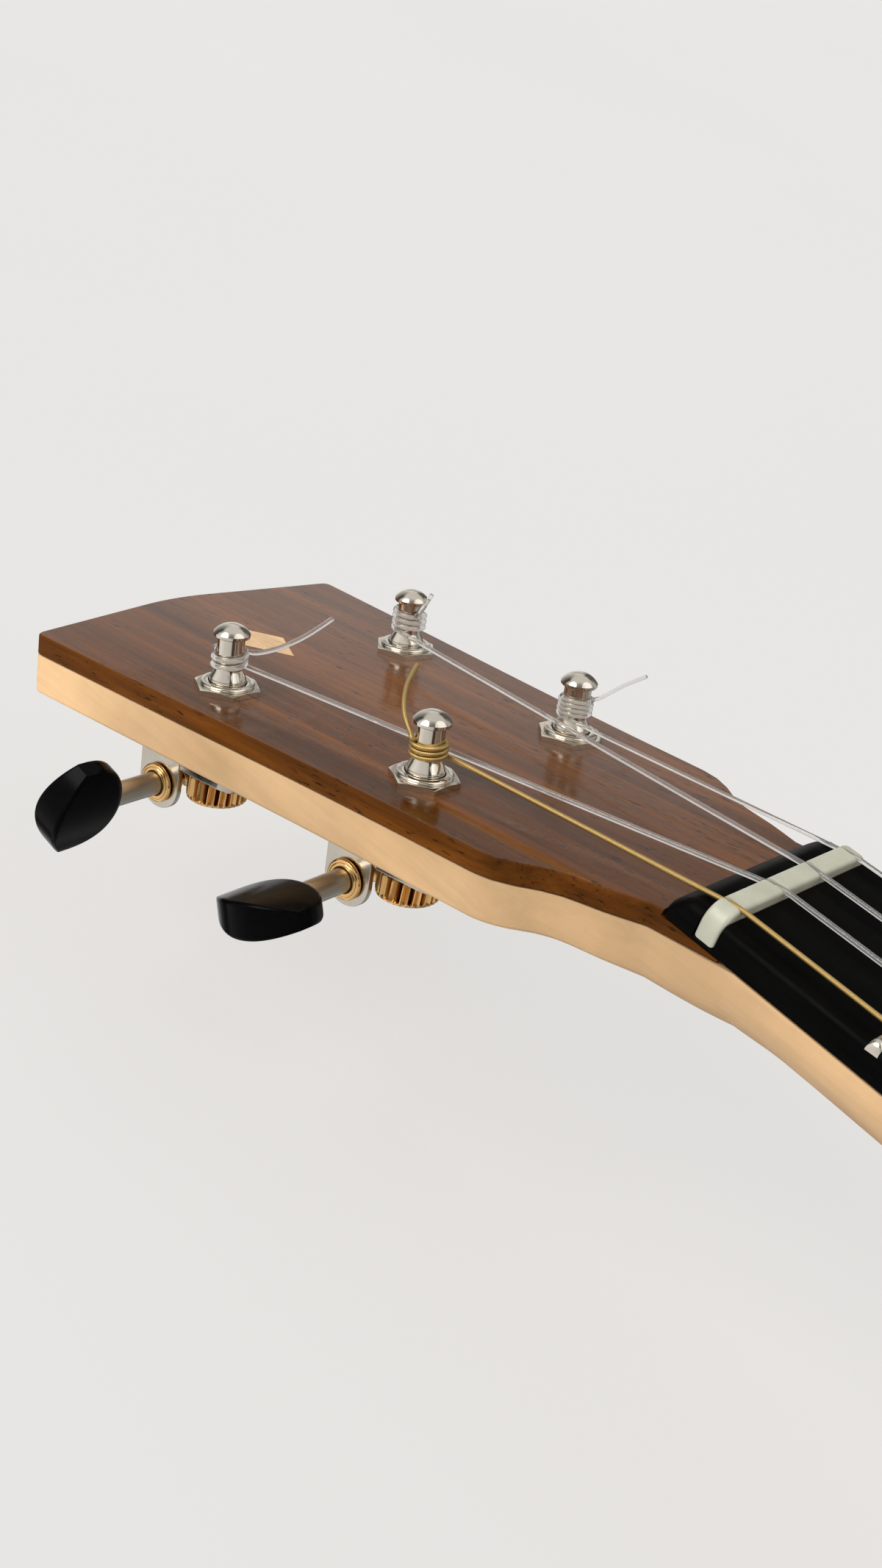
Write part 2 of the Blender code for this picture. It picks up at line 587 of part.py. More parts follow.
def build_fretboard():
    rings = [board_section(BOARD_END, BOARD_TOP)]
    for number in range(FRET_COUNT, 0, -1):
        y = NUT_FRONT - fret_distance(number)
        for shift, rise in ((-0.5, 0.0), (-0.25, 1.0), (0.25, 1.0), (0.5, 0.0)):
            rings.append(board_section(y + shift * FRET_WIDTH, BOARD_TOP + rise * FRET_HEIGHT))
    slot_floor = BOARD_BOTTOM + NUT_SEAT
    step = 0.02 * MM
    rings.append(board_section(NUT_FRONT - CLEAR, BOARD_TOP))
    rings.append(board_section(NUT_FRONT - CLEAR + step, slot_floor))
    rings.append(board_section(NUT_BACK + CLEAR - step, slot_floor))
    ledge_top = BOARD_BOTTOM + LEDGE_HEIGHT
    rings.append(board_section(NUT_BACK + CLEAR, ledge_top))
    rings.append(board_section(NUT_BACK + CLEAR + LEDGE_LENGTH * 0.35, ledge_top))
    rings.append(board_section(NUT_BACK + CLEAR + LEDGE_LENGTH * 0.75, ledge_top - 0.9 * MM))
    rings.append(board_section(LEDGE_END - CLEAR, ledge_top - 2.2 * MM))
    add_object("fretboard", loft(rings), "ebony", None, 25)


def string_points(key):
    """Where a string crosses the nut and the saddle."""
    step = STRING_PLACE[key]
    nut = Vector((step * NUT_STRING_SPACING, NUT_FRONT + NUT_THICKNESS * 0.4,
                  BOARD_TOP + STRING_OVER_FRETBOARD))
    saddle = Vector((step * SADDLE_STRING_SPACING, SADDLE_Y, BODY_DEPTH + STRING_OVER_TOP))
    return nut, saddle


def build_nut():
    top = NECK_PLANE + NUT_HEIGHT
    low = BOARD_BOTTOM + NUT_SEAT + CLEAR
    half = NUT_HALF_WIDTH - 0.2 * MM
    edge = 1.6 * MM
    outline = [(-half, low), (half, low), (half, top - edge)]
    arc = [math.pi / 6 * step for step in (1, 2, 3)]
    outline += [(half - edge + edge * math.cos(a), top - edge + edge * math.sin(a)) for a in arc]
    outline += [(-half + edge - edge * math.cos(a), top - edge + edge * math.sin(a)) for a in arc[::-1]]
    outline += [(-half, top - edge)]
    shape = prism(outline, NUT_FRONT, NUT_BACK)
    turn = Matrix(((1, 0, 0), (0, 0, 1), (0, 1, 0)))
    bmesh.ops.transform(shape, verts=shape.verts, matrix=turn.to_4x4())
    nut = add_object("nut", shape, "bone")
    for key in STRING_PLACE:
        crossing, saddle = string_points(key)
        slot = STRING_DIAMETER[key] / 2 + CLEAR
        profile = [(-slot, 0.0), (-slot * 0.7, -slot * 0.7), (0.0, -slot), (slot * 0.7, -slot * 0.7),
                   (slot, 0.0), (slot, 5 * slot), (-slot, 5 * slot)]
        groove = prism(profile, -2 * NUT_THICKNESS, 2 * NUT_THICKNESS)
        bmesh.ops.transform(groove, verts=groove.verts, matrix=turn.to_4x4())
        combine(nut, add_cutter("nut_slot_" + key, groove, Matrix.Translation(crossing)), "DIFFERENCE")


def head_half_width(v):
    return interpolate(HEAD_OUTLINE, v / MM) * MM


def head_outline(inset=0.0, start=None):
    """Headstock's outline in its own plane, from the given start to the arched tip."""
    first = HEAD_OUTLINE[0][0] * MM if start is None else start
    rows = [(first, head_half_width(first))]
    rows += [(v * MM, half * MM) for v, half in HEAD_OUTLINE if v * MM > first]
    corner = rows[-1][1]
    rise = HEAD_TIP_RISE
    radius = (corner ** 2 + rise ** 2) / (2 * rise)
    spread = math.asin(corner / radius)
    steps = 5
    right = [(half - inset, v) for v, half in rows]
    right[-1] = (corner - inset, rows[-1][0] - inset * 0.75)
    centre = HEAD_CORNER + rise - radius
    for i in range(1, steps):
        angle = spread * (1 - i / steps)
        right.append(((radius - inset) * math.sin(angle), centre + (radius - inset) * math.cos(angle)))
    tip = [(0.0, centre + radius - inset)]
    left = [(-x, v) for x, v in reversed(right)]
    if inset:
        right[0] = (right[0][0], first)
        left[-1] = (left[-1][0], first)
    return right + tip + left


def wedge_start(level):
    """Distance from the ledge at which a level of the headstock meets the neck's top plane."""
    return (level + LEDGE_SINK / math.cos(HEAD_PITCH)) / math.tan(HEAD_PITCH)


def neck_section(top, half, depth, tilt=0.0, narrowing=1.0, fullness=1.0):
    """Cross-section of the neck: flat above, rounded below, leaning with the headstock."""
    right = [(half, 0.0)]
    for i in range(1, 8):
        angle = math.pi / 2 * i / 7
        x = half * math.cos(angle) ** fullness if i < 7 else 0.0
        sink = math.sin(angle) ** fullness
        right.append((x * (1.0 - (1.0 - narrowing) * sink), -depth * sink))
    lean = Matrix.Rotation(-tilt, 3, "X")
    loop = right + [(-x, z) for x, z in reversed(right[:-1])]
    return [top + lean @ Vector((x, 0.0, z)) for x, z in loop]


def neck_depth(y):
    """Thickness of the neck's shaft at a place along it."""
    share = (y - BODY_END) / (NUT_FRONT - BODY_END)
    return NECK_THICKNESS_BODY + (NECK_THICKNESS_NUT - NECK_THICKNESS_BODY) * share


def heel_rings():
    near = BODY_END + CLEAR
    full = NECK_PLANE - HEEL_TO_BACK - HEEL_CAP_THICKNESS - CLEAR
    cove = HEEL_LENGTH - HEEL_CAP_LENGTH
    rings = []
    for distance in (0.0, HEEL_CAP_LENGTH * 0.5, HEEL_CAP_LENGTH * 0.8):
        share = distance / HEEL_CAP_LENGTH
        narrow = HEEL_NARROWING * math.sqrt(1.0 - share ** 2 * 0.8)
        y = near + distance
        top = Vector((0, y, NECK_PLANE))
        rings.append(neck_section(top, board_half_width(y), full, 0.0, narrow, HEEL_FULLNESS))
    for i in range(1, 9):
        turn = math.pi / 2 * i / 8
        y = near + HEEL_CAP_LENGTH + cove * (1.0 - math.cos(turn))
        rise = math.sin(turn)
        depth = full + (neck_depth(y) - full) * rise
        narrow = HEEL_NARROWING * 0.45 + (1.0 - HEEL_NARROWING * 0.45) * rise
        fullness = HEEL_FULLNESS + (1.0 - HEEL_FULLNESS) * rise
        top = Vector((0, y, NECK_PLANE))
        rings.append(neck_section(top, board_half_width(y), depth, 0.0, narrow, fullness))
    return rings


def throat_rings(knee):
    """Sections that turn from the shaft's direction to the headstock's, and end inside its core."""
    rings = []
    last = THROAT_LENGTH * 1.9
    count = 12
    bend = wedge_start(CORE_TOP)
    for i in range(count + 1):
        along = -THROAT_LENGTH + (THROAT_LENGTH + last) * i / count
        tilt = HEAD_PITCH * blend((along + THROAT_LENGTH) / (2 * THROAT_LENGTH))
        if along <= WEDGE_STEP:
            top = Vector((0, knee + along, NECK_PLANE))
        else:
            sink = (CORE_SINK * blend(along / (6 * WEDGE_STEP)) + MM * 0.6 * blend(along / last))
            top = HEAD_FRAME @ Vector((0, bend + along, CORE_TOP - sink))
        thin = blend((along + THROAT_LENGTH * 0.3) / (last + THROAT_LENGTH * 0.3))
        depth = neck_depth(knee) + (HEAD_THICKNESS + CORE_TOP - 1.6 * MM - neck_depth(knee)) * thin
        half = board_half_width(min(top.y, NUT_BACK)) - THROAT_INSET * blend(along / last)
        rings.append(neck_section(top, half, depth, tilt))
    return rings


def build_neck():
    """Heel, shaft and throat as one loft, joined with the flat core of the headstock."""
    rings = heel_rings()
    knee = (HEAD_FRAME @ Vector((0.0, wedge_start(CORE_TOP), CORE_TOP))).y
    first = BODY_END + CLEAR + HEEL_LENGTH
    last = knee - THROAT_LENGTH
    for i in range(1, 4):
        y = first + (last - first) * i / 4
        rings.append(neck_section(Vector((0, y, NECK_PLANE)), board_half_width(y), neck_depth(y)))
    neck = add_object("neck", loft(rings + throat_rings(knee)), "maple", None, 35)
    levels = [(0.0, CORE_TOP), (0.0, HEAD_BACK + HEAD_BACK_ROUND)]
    for i in range(1, 4):
        angle = math.pi / 2 * i / 3
        levels.append((HEAD_BACK_ROUND * (1 - math.cos(angle)),
                       HEAD_BACK + HEAD_BACK_ROUND * (1 - math.sin(angle))))
    start = wedge_start(CORE_TOP) + WEDGE_STEP
    stack = [[Vector((x, v, level)) for x, v in head_outline(inset, start)] for inset, level in levels]
    combine(neck, add_cutter("head_core", loft(stack), HEAD_FRAME), "UNION")
    for key, (u, v) in POST_PLACE.items():
        bore = rod(sleeve_radius() + CLEAR, HEAD_BACK - 4 * MM, 2 * MM, 16)
        cutter = add_cutter("head_bore_" + key, bore, HEAD_FRAME @ Matrix.Translation((u, v, 0.0)))
        combine(neck, cutter, "DIFFERENCE")
    half = board_half_width(BODY_END) * HEEL_NARROWING
    outline = [(half * math.cos(math.pi * i / 10), HEEL_CAP_LENGTH * math.sin(math.pi * i / 10))
               for i in range(11)]
    place = Matrix.Translation((0.0, BODY_END + CLEAR, HEEL_TO_BACK))
    add_object("heel_cap", prism(outline, 0.0, HEEL_CAP_THICKNESS), "ebony", place)


def sleeve_radius():
    return POST_RADIUS + RUNNING + SLEEVE_WALL


def build_veneer():
    start = wedge_start(-VENEER_THICKNESS + THINNEST_WEDGE)
    veneer = add_object("headstock_veneer", prism(head_outline(0.0, start), -VENEER_THICKNESS, 0.0),
                        "rosewood", HEAD_FRAME)
    room = [(-0.05, LEDGE_END - 0.05), (0.05, LEDGE_END - 0.05), (0.05, LEDGE_END), (-0.05, LEDGE_END)]
    combine(veneer, add_cutter("ledge_seat", prism(room, NECK_PLANE, NECK_PLANE + 0.02)), "DIFFERENCE")
    for key, (u, v) in POST_PLACE.items():
        bore = rod(sleeve_radius() + CLEAR, -2 * VENEER_THICKNESS, VENEER_THICKNESS, 16)
        cutter = add_cutter("veneer_bore_" + key, bore, HEAD_FRAME @ Matrix.Translation((u, v, 0.0)))
        combine(veneer, cutter, "DIFFERENCE")
    place = HEAD_FRAME @ Matrix.Translation((*INLAY_PLACE, 0.0))
    half_x, half_y = INLAY_HALF
    lozenge = [(0.0, -half_y), (half_x, 0.0), (0.0, half_y), (-half_x, 0.0)]
    grow = 1.0 + CLEAR * 2.0 / half_x
    seat = prism([(x * grow, y * grow) for x, y in lozenge], -INLAY_DEPTH - CLEAR, VENEER_THICKNESS)
    combine(veneer, add_cutter("inlay_cutter", seat, place), "DIFFERENCE")
    add_object("headstock_inlay", prism(lozenge, -INLAY_DEPTH, 0.0), "maple", place)


def tube(name, points, diameter, finish, place=None, parent=None, resolution=1):
    """A round cord along a list of points, capped at both ends."""
    curve = bpy.data.curves.new(name, "CURVE")
    curve.dimensions = "3D"
    curve.bevel_depth = diameter / 2
    curve.bevel_resolution = resolution
    curve.use_fill_caps = True
    spline = curve.splines.new("POLY")
    spline.points.add(len(points) - 1)
    for slot, point in zip(spline.points, points):
        slot.co = (*point, 1.0)
    curve.materials.append(material(finish))
    item = bpy.data.objects.new(name, curve)
    bpy.context.scene.collection.objects.link(item)
    if parent:
        item.parent = parent
    if place:
        item.matrix_local = place
    return item


def string_finish(key):
    return "wound_string" if key == "g" else "clear_string"


def winding_radius(key):
    return POST_CORE_RADIUS + CLEAR + STRING_DIAMETER[key] / 2


def post_matrix(key):
    u, v = POST_PLACE[key]
    return HEAD_FRAME @ Matrix.Translation((u, v, 0.0))


def build_string(key):
    """One string from just short of its winding, over nut and saddle, round the tie block."""
    nut, saddle = string_points(key)
    post = post_matrix(key)
    inner_side = 1.0 if key in "gc" else -1.0
    radius = winding_radius(key)
    foot = post @ Vector((inner_side * radius, 0.0, WINDING_BASE))
    thick = STRING_DIAMETER[key]
    heading = (nut - foot).normalized()
    sweep = math.hypot(radius + thick / 2, thick) + CLEAR
    start = foot + heading * math.sqrt(sweep ** 2 - (radius - thick / 2) ** 2)
    low = BODY_DEPTH + TIE_HOLE_HEIGHT
    rear = SADDLE_Y + SADDLE_TO_FRONT - BRIDGE_LENGTH
    tie_front = rear + TIE_BLOCK_LENGTH + 1.0 * MM
    over = BODY_DEPTH + CLEAR + TIE_BLOCK_HEIGHT + thick / 2 + CLEAR
    behind = rear + 1.0 * MM - thick / 2 - CLEAR
    x = saddle.x
    back_of_nut = Vector((nut.x, NUT_BACK + CLEAR, nut.z))
    points = [start, back_of_nut, nut, saddle + Vector((0, 2.0 * MM, 0.0)),
              saddle, Vector((x, SADDLE_Y - 2.2 * MM, saddle.z - 1.3 * MM)),
              Vector((x, tie_front + 0.9 * MM, low + 0.5 * MM)), Vector((x, tie_front, low)),
              Vector((x, rear + 1.0 * MM, low)), Vector((x, behind - 0.3 * MM, low + 0.4 * MM)),
              Vector((x, behind - 0.5 * MM, (low + over) / 2)), Vector((x, behind, over - 0.5 * MM)),
              Vector((x, rear + 1.5 * MM, over)), Vector((x, tie_front - 0.5 * MM, over))]
    tube("string_" + key, points, thick, string_finish(key))


def arrival_heading(key):
    """Direction in which the string runs to its post, on the faceplate."""
    nut, _ = string_points(key)
    here = post_matrix(key).inverted() @ nut
    inner_side = 1.0 if key in "gc" else -1.0
    return math.atan2(-here.y, inner_side * winding_radius(key) - here.x)


def winding_points(key):
    """Helix round the post, rising from the string's arrival, then the loose tail."""
    thick = STRING_DIAMETER[key]
    pitch = thick + WINDING_GAP
    radius = winding_radius(key)
    spin = 1.0 if key in "gc" else -1.0
    length, rise, curl = WINDING_TAIL[key]
    leave = math.radians(TAIL_HEADING[key])
    end_angle = leave - spin * math.pi / 2
    part_turn = (spin * (leave - arrival_heading(key)) / (2 * math.pi)) % 1.0
    steps = round((WINDING_TURNS[key] + part_turn) * WINDING_STEPS)
    points = []
    for i in range(steps + 1):
        angle = end_angle - spin * 2 * math.pi * (steps - i) / WINDING_STEPS
        points.append(Vector((radius * math.cos(angle), radius * math.sin(angle),
                              WINDING_BASE + pitch * i / WINDING_STEPS)))
    along = Vector((-math.sin(end_angle) * spin, math.cos(end_angle) * spin, 0.0))
    first = points[0]
    first_angle = math.atan2(first.y, first.x)
    arrive = Vector((-math.sin(first_angle) * spin, math.cos(first_angle) * spin, 0.0))
    slope = pitch / (2 * math.pi * radius)
    points.insert(0, first - (arrive + Vector((0.0, 0.0, slope))) * thick)
    here = points[-1].copy()
    tail_steps = 4
    step = length * MM / tail_steps
    for i in range(1, tail_steps + 1):
        bend = math.radians(curl) * (max(0.0, i - 1) / tail_steps)
        direction = Matrix.Rotation(bend, 3, "Z") @ along
        lift = rise * MM / tail_steps
        here = here + direction * step + Vector((0.0, 0.0, lift))
        points.append(here.copy())
    return points


def least_gap(points, thick, apart):
    """Smallest free distance between stretches of one cord that lie further apart along it."""
    best = 1.0
    for i, a in enumerate(points):
        for b in points[i + apart:]:
            best = min(best, (a - b).length - thick)
    return best


def build_post(key):
    place = post_matrix(key)
    axis = add_axis("post_axis_" + key, place)
    cap = POST_CAP_BASE
    rim = cap + POST_CAP_RIM
    washer_top = CLEAR + POST_NUT_THICKNESS + WASHER_THICKNESS
    shoulder = washer_top + CLEAR
    flare = POST_FLARE_TOP
    gear_end = GEAR_TOP - GEAR_FACE
    profile = [(0.0, rim + POST_CAP_DOME), (POST_CAP_RADIUS * 0.5, rim + POST_CAP_DOME * 0.78),
               (POST_CAP_RADIUS * 0.86, rim + POST_CAP_DOME * 0.33), (POST_CAP_RADIUS, rim),
               (POST_CAP_RADIUS, cap), (POST_CORE_RADIUS, cap), (POST_CORE_RADIUS, flare),
               (POST_FLARE_RADIUS * 0.84, (flare + shoulder) / 2), (POST_FLARE_RADIUS, shoulder + 0.6 * MM),
               (POST_FLARE_RADIUS, shoulder), (POST_RADIUS, shoulder),
               (POST_RADIUS, GEAR_TOP + CLEAR), (SPIGOT_RADIUS, GEAR_TOP + CLEAR),
               (SPIGOT_RADIUS, gear_end), (0.0, gear_end)]
    add_object("string_post_" + key, turned(profile[::-1], POST_SEGMENTS), "nickel", None, 30, axis)
    points = winding_points(key)
    gap = least_gap(points, STRING_DIAMETER[key], WINDING_STEPS // 2)
    print(f"string_winding_{key}: least gap to itself {gap / MM:.3f} mm")
    tube("string_winding_" + key, points, STRING_DIAMETER[key], string_finish(key), None, axis)
    build_gear(key, axis)
    build_post_nut(key, place)


def build_post_nut(key, place):
    """Hexagon nut with its washer and the threaded sleeve that clamps the tuner."""
    bore = POST_RADIUS + RUNNING
    sleeve = sleeve_radius()
    corner = POST_NUT_FLATS / 2 / math.cos(math.pi / 6)
    nut = prism(circle(corner, 6, math.radians(18)), CLEAR, CLEAR + POST_NUT_THICKNESS)
    item = add_object("post_nut_" + key, nut, "nickel", place)
    top = CLEAR + POST_NUT_THICKNESS + WASHER_THICKNESS
    body = [(0.0, -SLEEVE_LENGTH), (sleeve, -SLEEVE_LENGTH), (sleeve, CLEAR + POST_NUT_THICKNESS / 2),
            (WASHER_RADIUS, CLEAR + POST_NUT_THICKNESS / 2), (WASHER_RADIUS, top), (0.0, top)]
    combine(item, add_cutter("nut_body_" + key, turned(body, POST_SEGMENTS), place), "UNION")
    hole = rod(bore, -SLEEVE_LENGTH - MM, top + MM, POST_SEGMENTS)
    combine(item, add_cutter("nut_bore_" + key, hole, place), "DIFFERENCE")


def build_gear(key, axis):
    """Worm wheel: leaning teeth that mesh with the worm, on the post's lower end."""
    outer = GEAR_PITCH_RADIUS + GEAR_ADDENDUM
    root = GEAR_PITCH_RADIUS - GEAR_DEDENDUM
    pitch_angle = 2 * math.pi / GEAR_TEETH
    lean = math.tan(THREAD_LEAN) * GEAR_FACE / 2 / GEAR_PITCH_RADIUS
    start = gear_phase(key)
    rings = []
    for level, twist in ((GEAR_TOP, lean), (GEAR_TOP - GEAR_FACE, -lean)):
        loop = []
        for tooth in range(GEAR_TEETH):
            middle = start + tooth * pitch_angle + twist
            for radius, share in ((root, -0.5 * (1.05 - TOOTH_SHARE)), (outer, -0.5 * TOOTH_TIP_SHARE),
                                  (outer, 0.5 * TOOTH_TIP_SHARE), (root, 0.5 * (1.05 - TOOTH_SHARE))):
                angle = middle + share * pitch_angle
                loop.append(Vector((radius * math.cos(angle), radius * math.sin(angle), level)))
        rings.append(loop)
    gear = add_object("worm_gear_" + key, loft(rings), "bronze", None, None, axis)
    hole = rod(SPIGOT_RADIUS + CLEAR, GEAR_TOP - 2 * GEAR_FACE, GEAR_TOP + GEAR_FACE, 12)
    combine(gear, add_cutter("gear_bore_" + key, hole, None, axis), "DIFFERENCE")


def outboard(key):
    return -1.0 if key in "gc" else 1.0


def tuner_turn(key):
    """The tuner's own X axis points outboard, along the shaft."""
    angle = math.pi + TUNER_TURN if outboard(key) < 0 else -TUNER_TURN
    return Matrix.Rotation(angle, 4, "Z")


def worm_side(key):
    """Side of the shaft's axis in the tuner's frame on which the worm lies, always towards the tip."""
    return -1.0 if outboard(key) < 0 else 1.0


def gear_phase(key):
    """Turn of the wheel that puts a gap between two teeth in front of a crest of the worm."""
    to_worm = math.radians(90.0) + (TUNER_TURN if outboard(key) < 0 else -TUNER_TURN)
    return to_worm + math.pi / GEAR_TEETH


def build_plate(key):
    """Base plate with its two down-turned ears and the collar that the shaft turns in."""
    frame = post_matrix(key) @ tuner_turn(key)
    side = worm_side(key)
    tip = WORM_OFFSET + EAR_RADIUS + PLATE_PAST_EAR
    cut = 3.5 * MM
    step = WORM_OFFSET - EAR_RADIUS - PLATE_PAST_EAR
    outline = [(EAR_OUTBOARD, tip), (EAR_OUTBOARD, step), (PLATE_OUTBOARD, step - PLATE_PAST_EAR),
               (PLATE_OUTBOARD, cut - PLATE_TO_NECK), (PLATE_OUTBOARD - cut, -PLATE_TO_NECK),
               (cut - PLATE_INBOARD, -PLATE_TO_NECK), (-PLATE_INBOARD, cut - PLATE_TO_NECK),
               (-PLATE_INBOARD, tip)]
    outline = [(x, side * y) for x, y in outline]
    plate = add_object("tuner_plate_" + key, prism(outline, PLATE_BOTTOM, PLATE_TOP), "nickel", frame)
    worm_y = side * WORM_OFFSET
    for part, radius, low_x, high_x in (
            ("outer_ear", EAR_RADIUS, EAR_OUTBOARD - EAR_THICKNESS, EAR_OUTBOARD - 0.02 * MM),
            ("inner_ear", INNER_EAR_RADIUS, -PLATE_INBOARD + 0.02 * MM, -PLATE_INBOARD + EAR_THICKNESS)):
        face = [(radius * math.cos(a), radius * math.sin(a)) for a in
                [math.pi + math.pi * i / 8 for i in range(9)]]
        rise = PLATE_BOTTOM + PLATE_THICKNESS * 0.4 - GEAR_MIDDLE
        face += [(radius, rise), (-radius, rise)]
        ear = prism(face, low_x, high_x)
        turn = Matrix(((0, 0, 1), (1, 0, 0), (0, 1, 0)))
        bmesh.ops.transform(ear, verts=ear.verts, matrix=turn.to_4x4())
        spot = frame @ Matrix.Translation((0.0, worm_y, GEAR_MIDDLE))
        combine(plate, add_cutter(f"{part}_{key}", ear, spot), "UNION")
    along = frame @ Matrix.Translation((0.0, worm_y, GEAR_MIDDLE)) @ Matrix.Rotation(math.pi / 2, 4, "Y")
    collar = rod(COLLAR_RADIUS, EAR_OUTBOARD - EAR_THICKNESS / 2, EAR_OUTBOARD + COLLAR_LENGTH, 14)
    combine(plate, add_cutter("collar_" + key, collar, along), "UNION")
    bearing = rod(SHAFT_RADIUS + RUNNING, EAR_OUTBOARD - 2 * EAR_THICKNESS,
                  EAR_OUTBOARD + 2 * COLLAR_LENGTH, 14)
    combine(plate, add_cutter("bearing_" + key, bearing, along), "DIFFERENCE")
    pivot = rod(INNER_PIVOT_RADIUS + RUNNING, -PLATE_INBOARD - EAR_THICKNESS,
                -PLATE_INBOARD + 2 * EAR_THICKNESS, 10)
    combine(plate, add_cutter("pivot_hole_" + key, pivot, along), "DIFFERENCE")
    hole = rod(POST_RADIUS + RUNNING, PLATE_BOTTOM - PLATE_THICKNESS, PLATE_TOP + PLATE_THICKNESS,
               POST_SEGMENTS)
    combine(plate, add_cutter("plate_hole_" + key, hole, frame), "DIFFERENCE")


def build_shaft(key):
    """Worm, shaft and button turn together in the collar."""
    middle = Matrix.Translation((0.0, worm_side(key) * WORM_OFFSET, GEAR_MIDDLE))
    axis = add_axis("shaft_axis_" + key, post_matrix(key) @ tuner_turn(key) @ middle)
    outer = WORM_PITCH_RADIUS + GEAR_ADDENDUM
    root = WORM_PITCH_RADIUS - GEAR_DEDENDUM
    length = WORM_TURNS * AXIAL_PITCH
    facing = 0.0 if worm_side(key) < 0 else math.pi
    neck = EAR_OUTBOARD - EAR_THICKNESS - CLEAR
    rings = [shaft_ring(-PLATE_INBOARD, INNER_PIVOT_RADIUS),
             shaft_ring(-PLATE_INBOARD + EAR_THICKNESS + CLEAR, INNER_PIVOT_RADIUS),
             shaft_ring(-PLATE_INBOARD + EAR_THICKNESS + CLEAR + 0.02 * MM, root)]
    steps = WORM_TURNS * WORM_STEPS
    for i in range(steps + 1):
        x = -length / 2 + length * i / steps
        fade = min(1.0, min(i, steps - i) / (WORM_STEPS / 4))
        rings.append([worm_point(x, 2 * math.pi * j / WORM_SEGMENTS, facing, root, outer, fade)
                      for j in range(WORM_SEGMENTS)])
    tang = EAR_OUTBOARD + BUTTON_FROM_EAR + BUTTON_LENGTH * 0.6
    rings += [shaft_ring(neck - 0.02 * MM, root), shaft_ring(neck, SHAFT_RADIUS),
              shaft_ring(EAR_OUTBOARD + BUTTON_FROM_EAR - CLEAR, SHAFT_RADIUS),
              shaft_ring(EAR_OUTBOARD + BUTTON_FROM_EAR - CLEAR + 0.02 * MM, SHAFT_TANG_RADIUS),
              shaft_ring(tang, SHAFT_TANG_RADIUS)]
    add_object("worm_shaft_" + key, loft(rings), "bronze", None, 30, axis)
    build_button(key, axis)


def shaft_ring(x, radius):
    return [Vector((x, radius * math.cos(2 * math.pi * j / WORM_SEGMENTS),
                    radius * math.sin(2 * math.pi * j / WORM_SEGMENTS))) for j in range(WORM_SEGMENTS)]


def worm_point(x, angle, facing, root, outer, fade):
    """Point on the single right-hand thread, which has a crest at X = 0 on the side facing the wheel."""
    phase = x / AXIAL_PITCH - (angle - facing) / (2 * math.pi)
    away = abs((phase + 0.5) % 1.0 - 0.5) * 2.0
    foot = 1.05 - TOOTH_SHARE
    height = min(1.0, max(0.0, (foot - away) / (foot - TOOTH_TIP_SHARE)))
    radius = root + (outer - root) * height * fade
    return Vector((x, radius * math.cos(angle), radius * math.sin(angle)))


def build_button(key, axis):
    """Half-moon button: round towards the shaft, slightly bowed outside, thickest in the middle."""
    inner = EAR_OUTBOARD + BUTTON_FROM_EAR
    corner = inner + BUTTON_CORNER
    far = inner + BUTTON_LENGTH
    rings = []
    count = 10
    for i in range(count + 1):
        turn = math.pi * i / count
        across = -0.985 * math.cos(turn)
        y = BUTTON_HALF_WIDTH * across
        bow = (1.0 - across ** 2)
        start = corner - (corner - inner) * bow ** (BUTTON_FULLNESS / 2)
        end = corner + (far - corner) * bow
        half = (BUTTON_CORNER_THICKNESS + (BUTTON_THICKNESS - BUTTON_CORNER_THICKNESS) * bow) / 2
        soft = min(0.25 * (end - start), 0.7 * half)
        ring_points = []
        for x, z in ((start, half - soft), (start + soft * 0.3, half - soft * 0.3), (start + soft, half),
                     (end - soft, half), (end - soft * 0.3, half - soft * 0.3), (end, half - soft)):
            ring_points.append(Vector((x, y, z)))
        ring_points += [Vector((p.x, p.y, -p.z)) for p in reversed(ring_points)]
        rings.append(ring_points)
    turn = Matrix.Rotation(math.radians(BUTTON_TURN[key]), 4, "X")
    button = add_object("tuner_button_" + key, loft(rings), "black_plastic", turn, 40, axis)
    socket = rod(SHAFT_TANG_RADIUS + CLEAR, inner - MM, inner + BUTTON_LENGTH * 0.6 + CLEAR, 12)
    bmesh_turn = Matrix.Rotation(math.pi / 2, 4, "Y")
    combine(button, add_cutter("button_socket_" + key, socket, bmesh_turn, axis), "DIFFERENCE")


def main():
    clear_scene()
    build_body_shell()
    build_blocks()
    build_linings()
    build_braces()
    build_bridge()
    build_neck()
    build_veneer()
    build_fretboard()
    build_nut()
    for key in POST_PLACE:
        build_string(key)
        build_plate(key)
        build_post(key)
        build_shaft(key)
    bpy.context.view_layer.update()


main()
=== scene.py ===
import json
import math

import bmesh
import bpy
from bpy.props import FloatProperty, FloatVectorProperty, PointerProperty
from bpy.types import Operator, Panel, PropertyGroup
from mathutils import Matrix, Vector

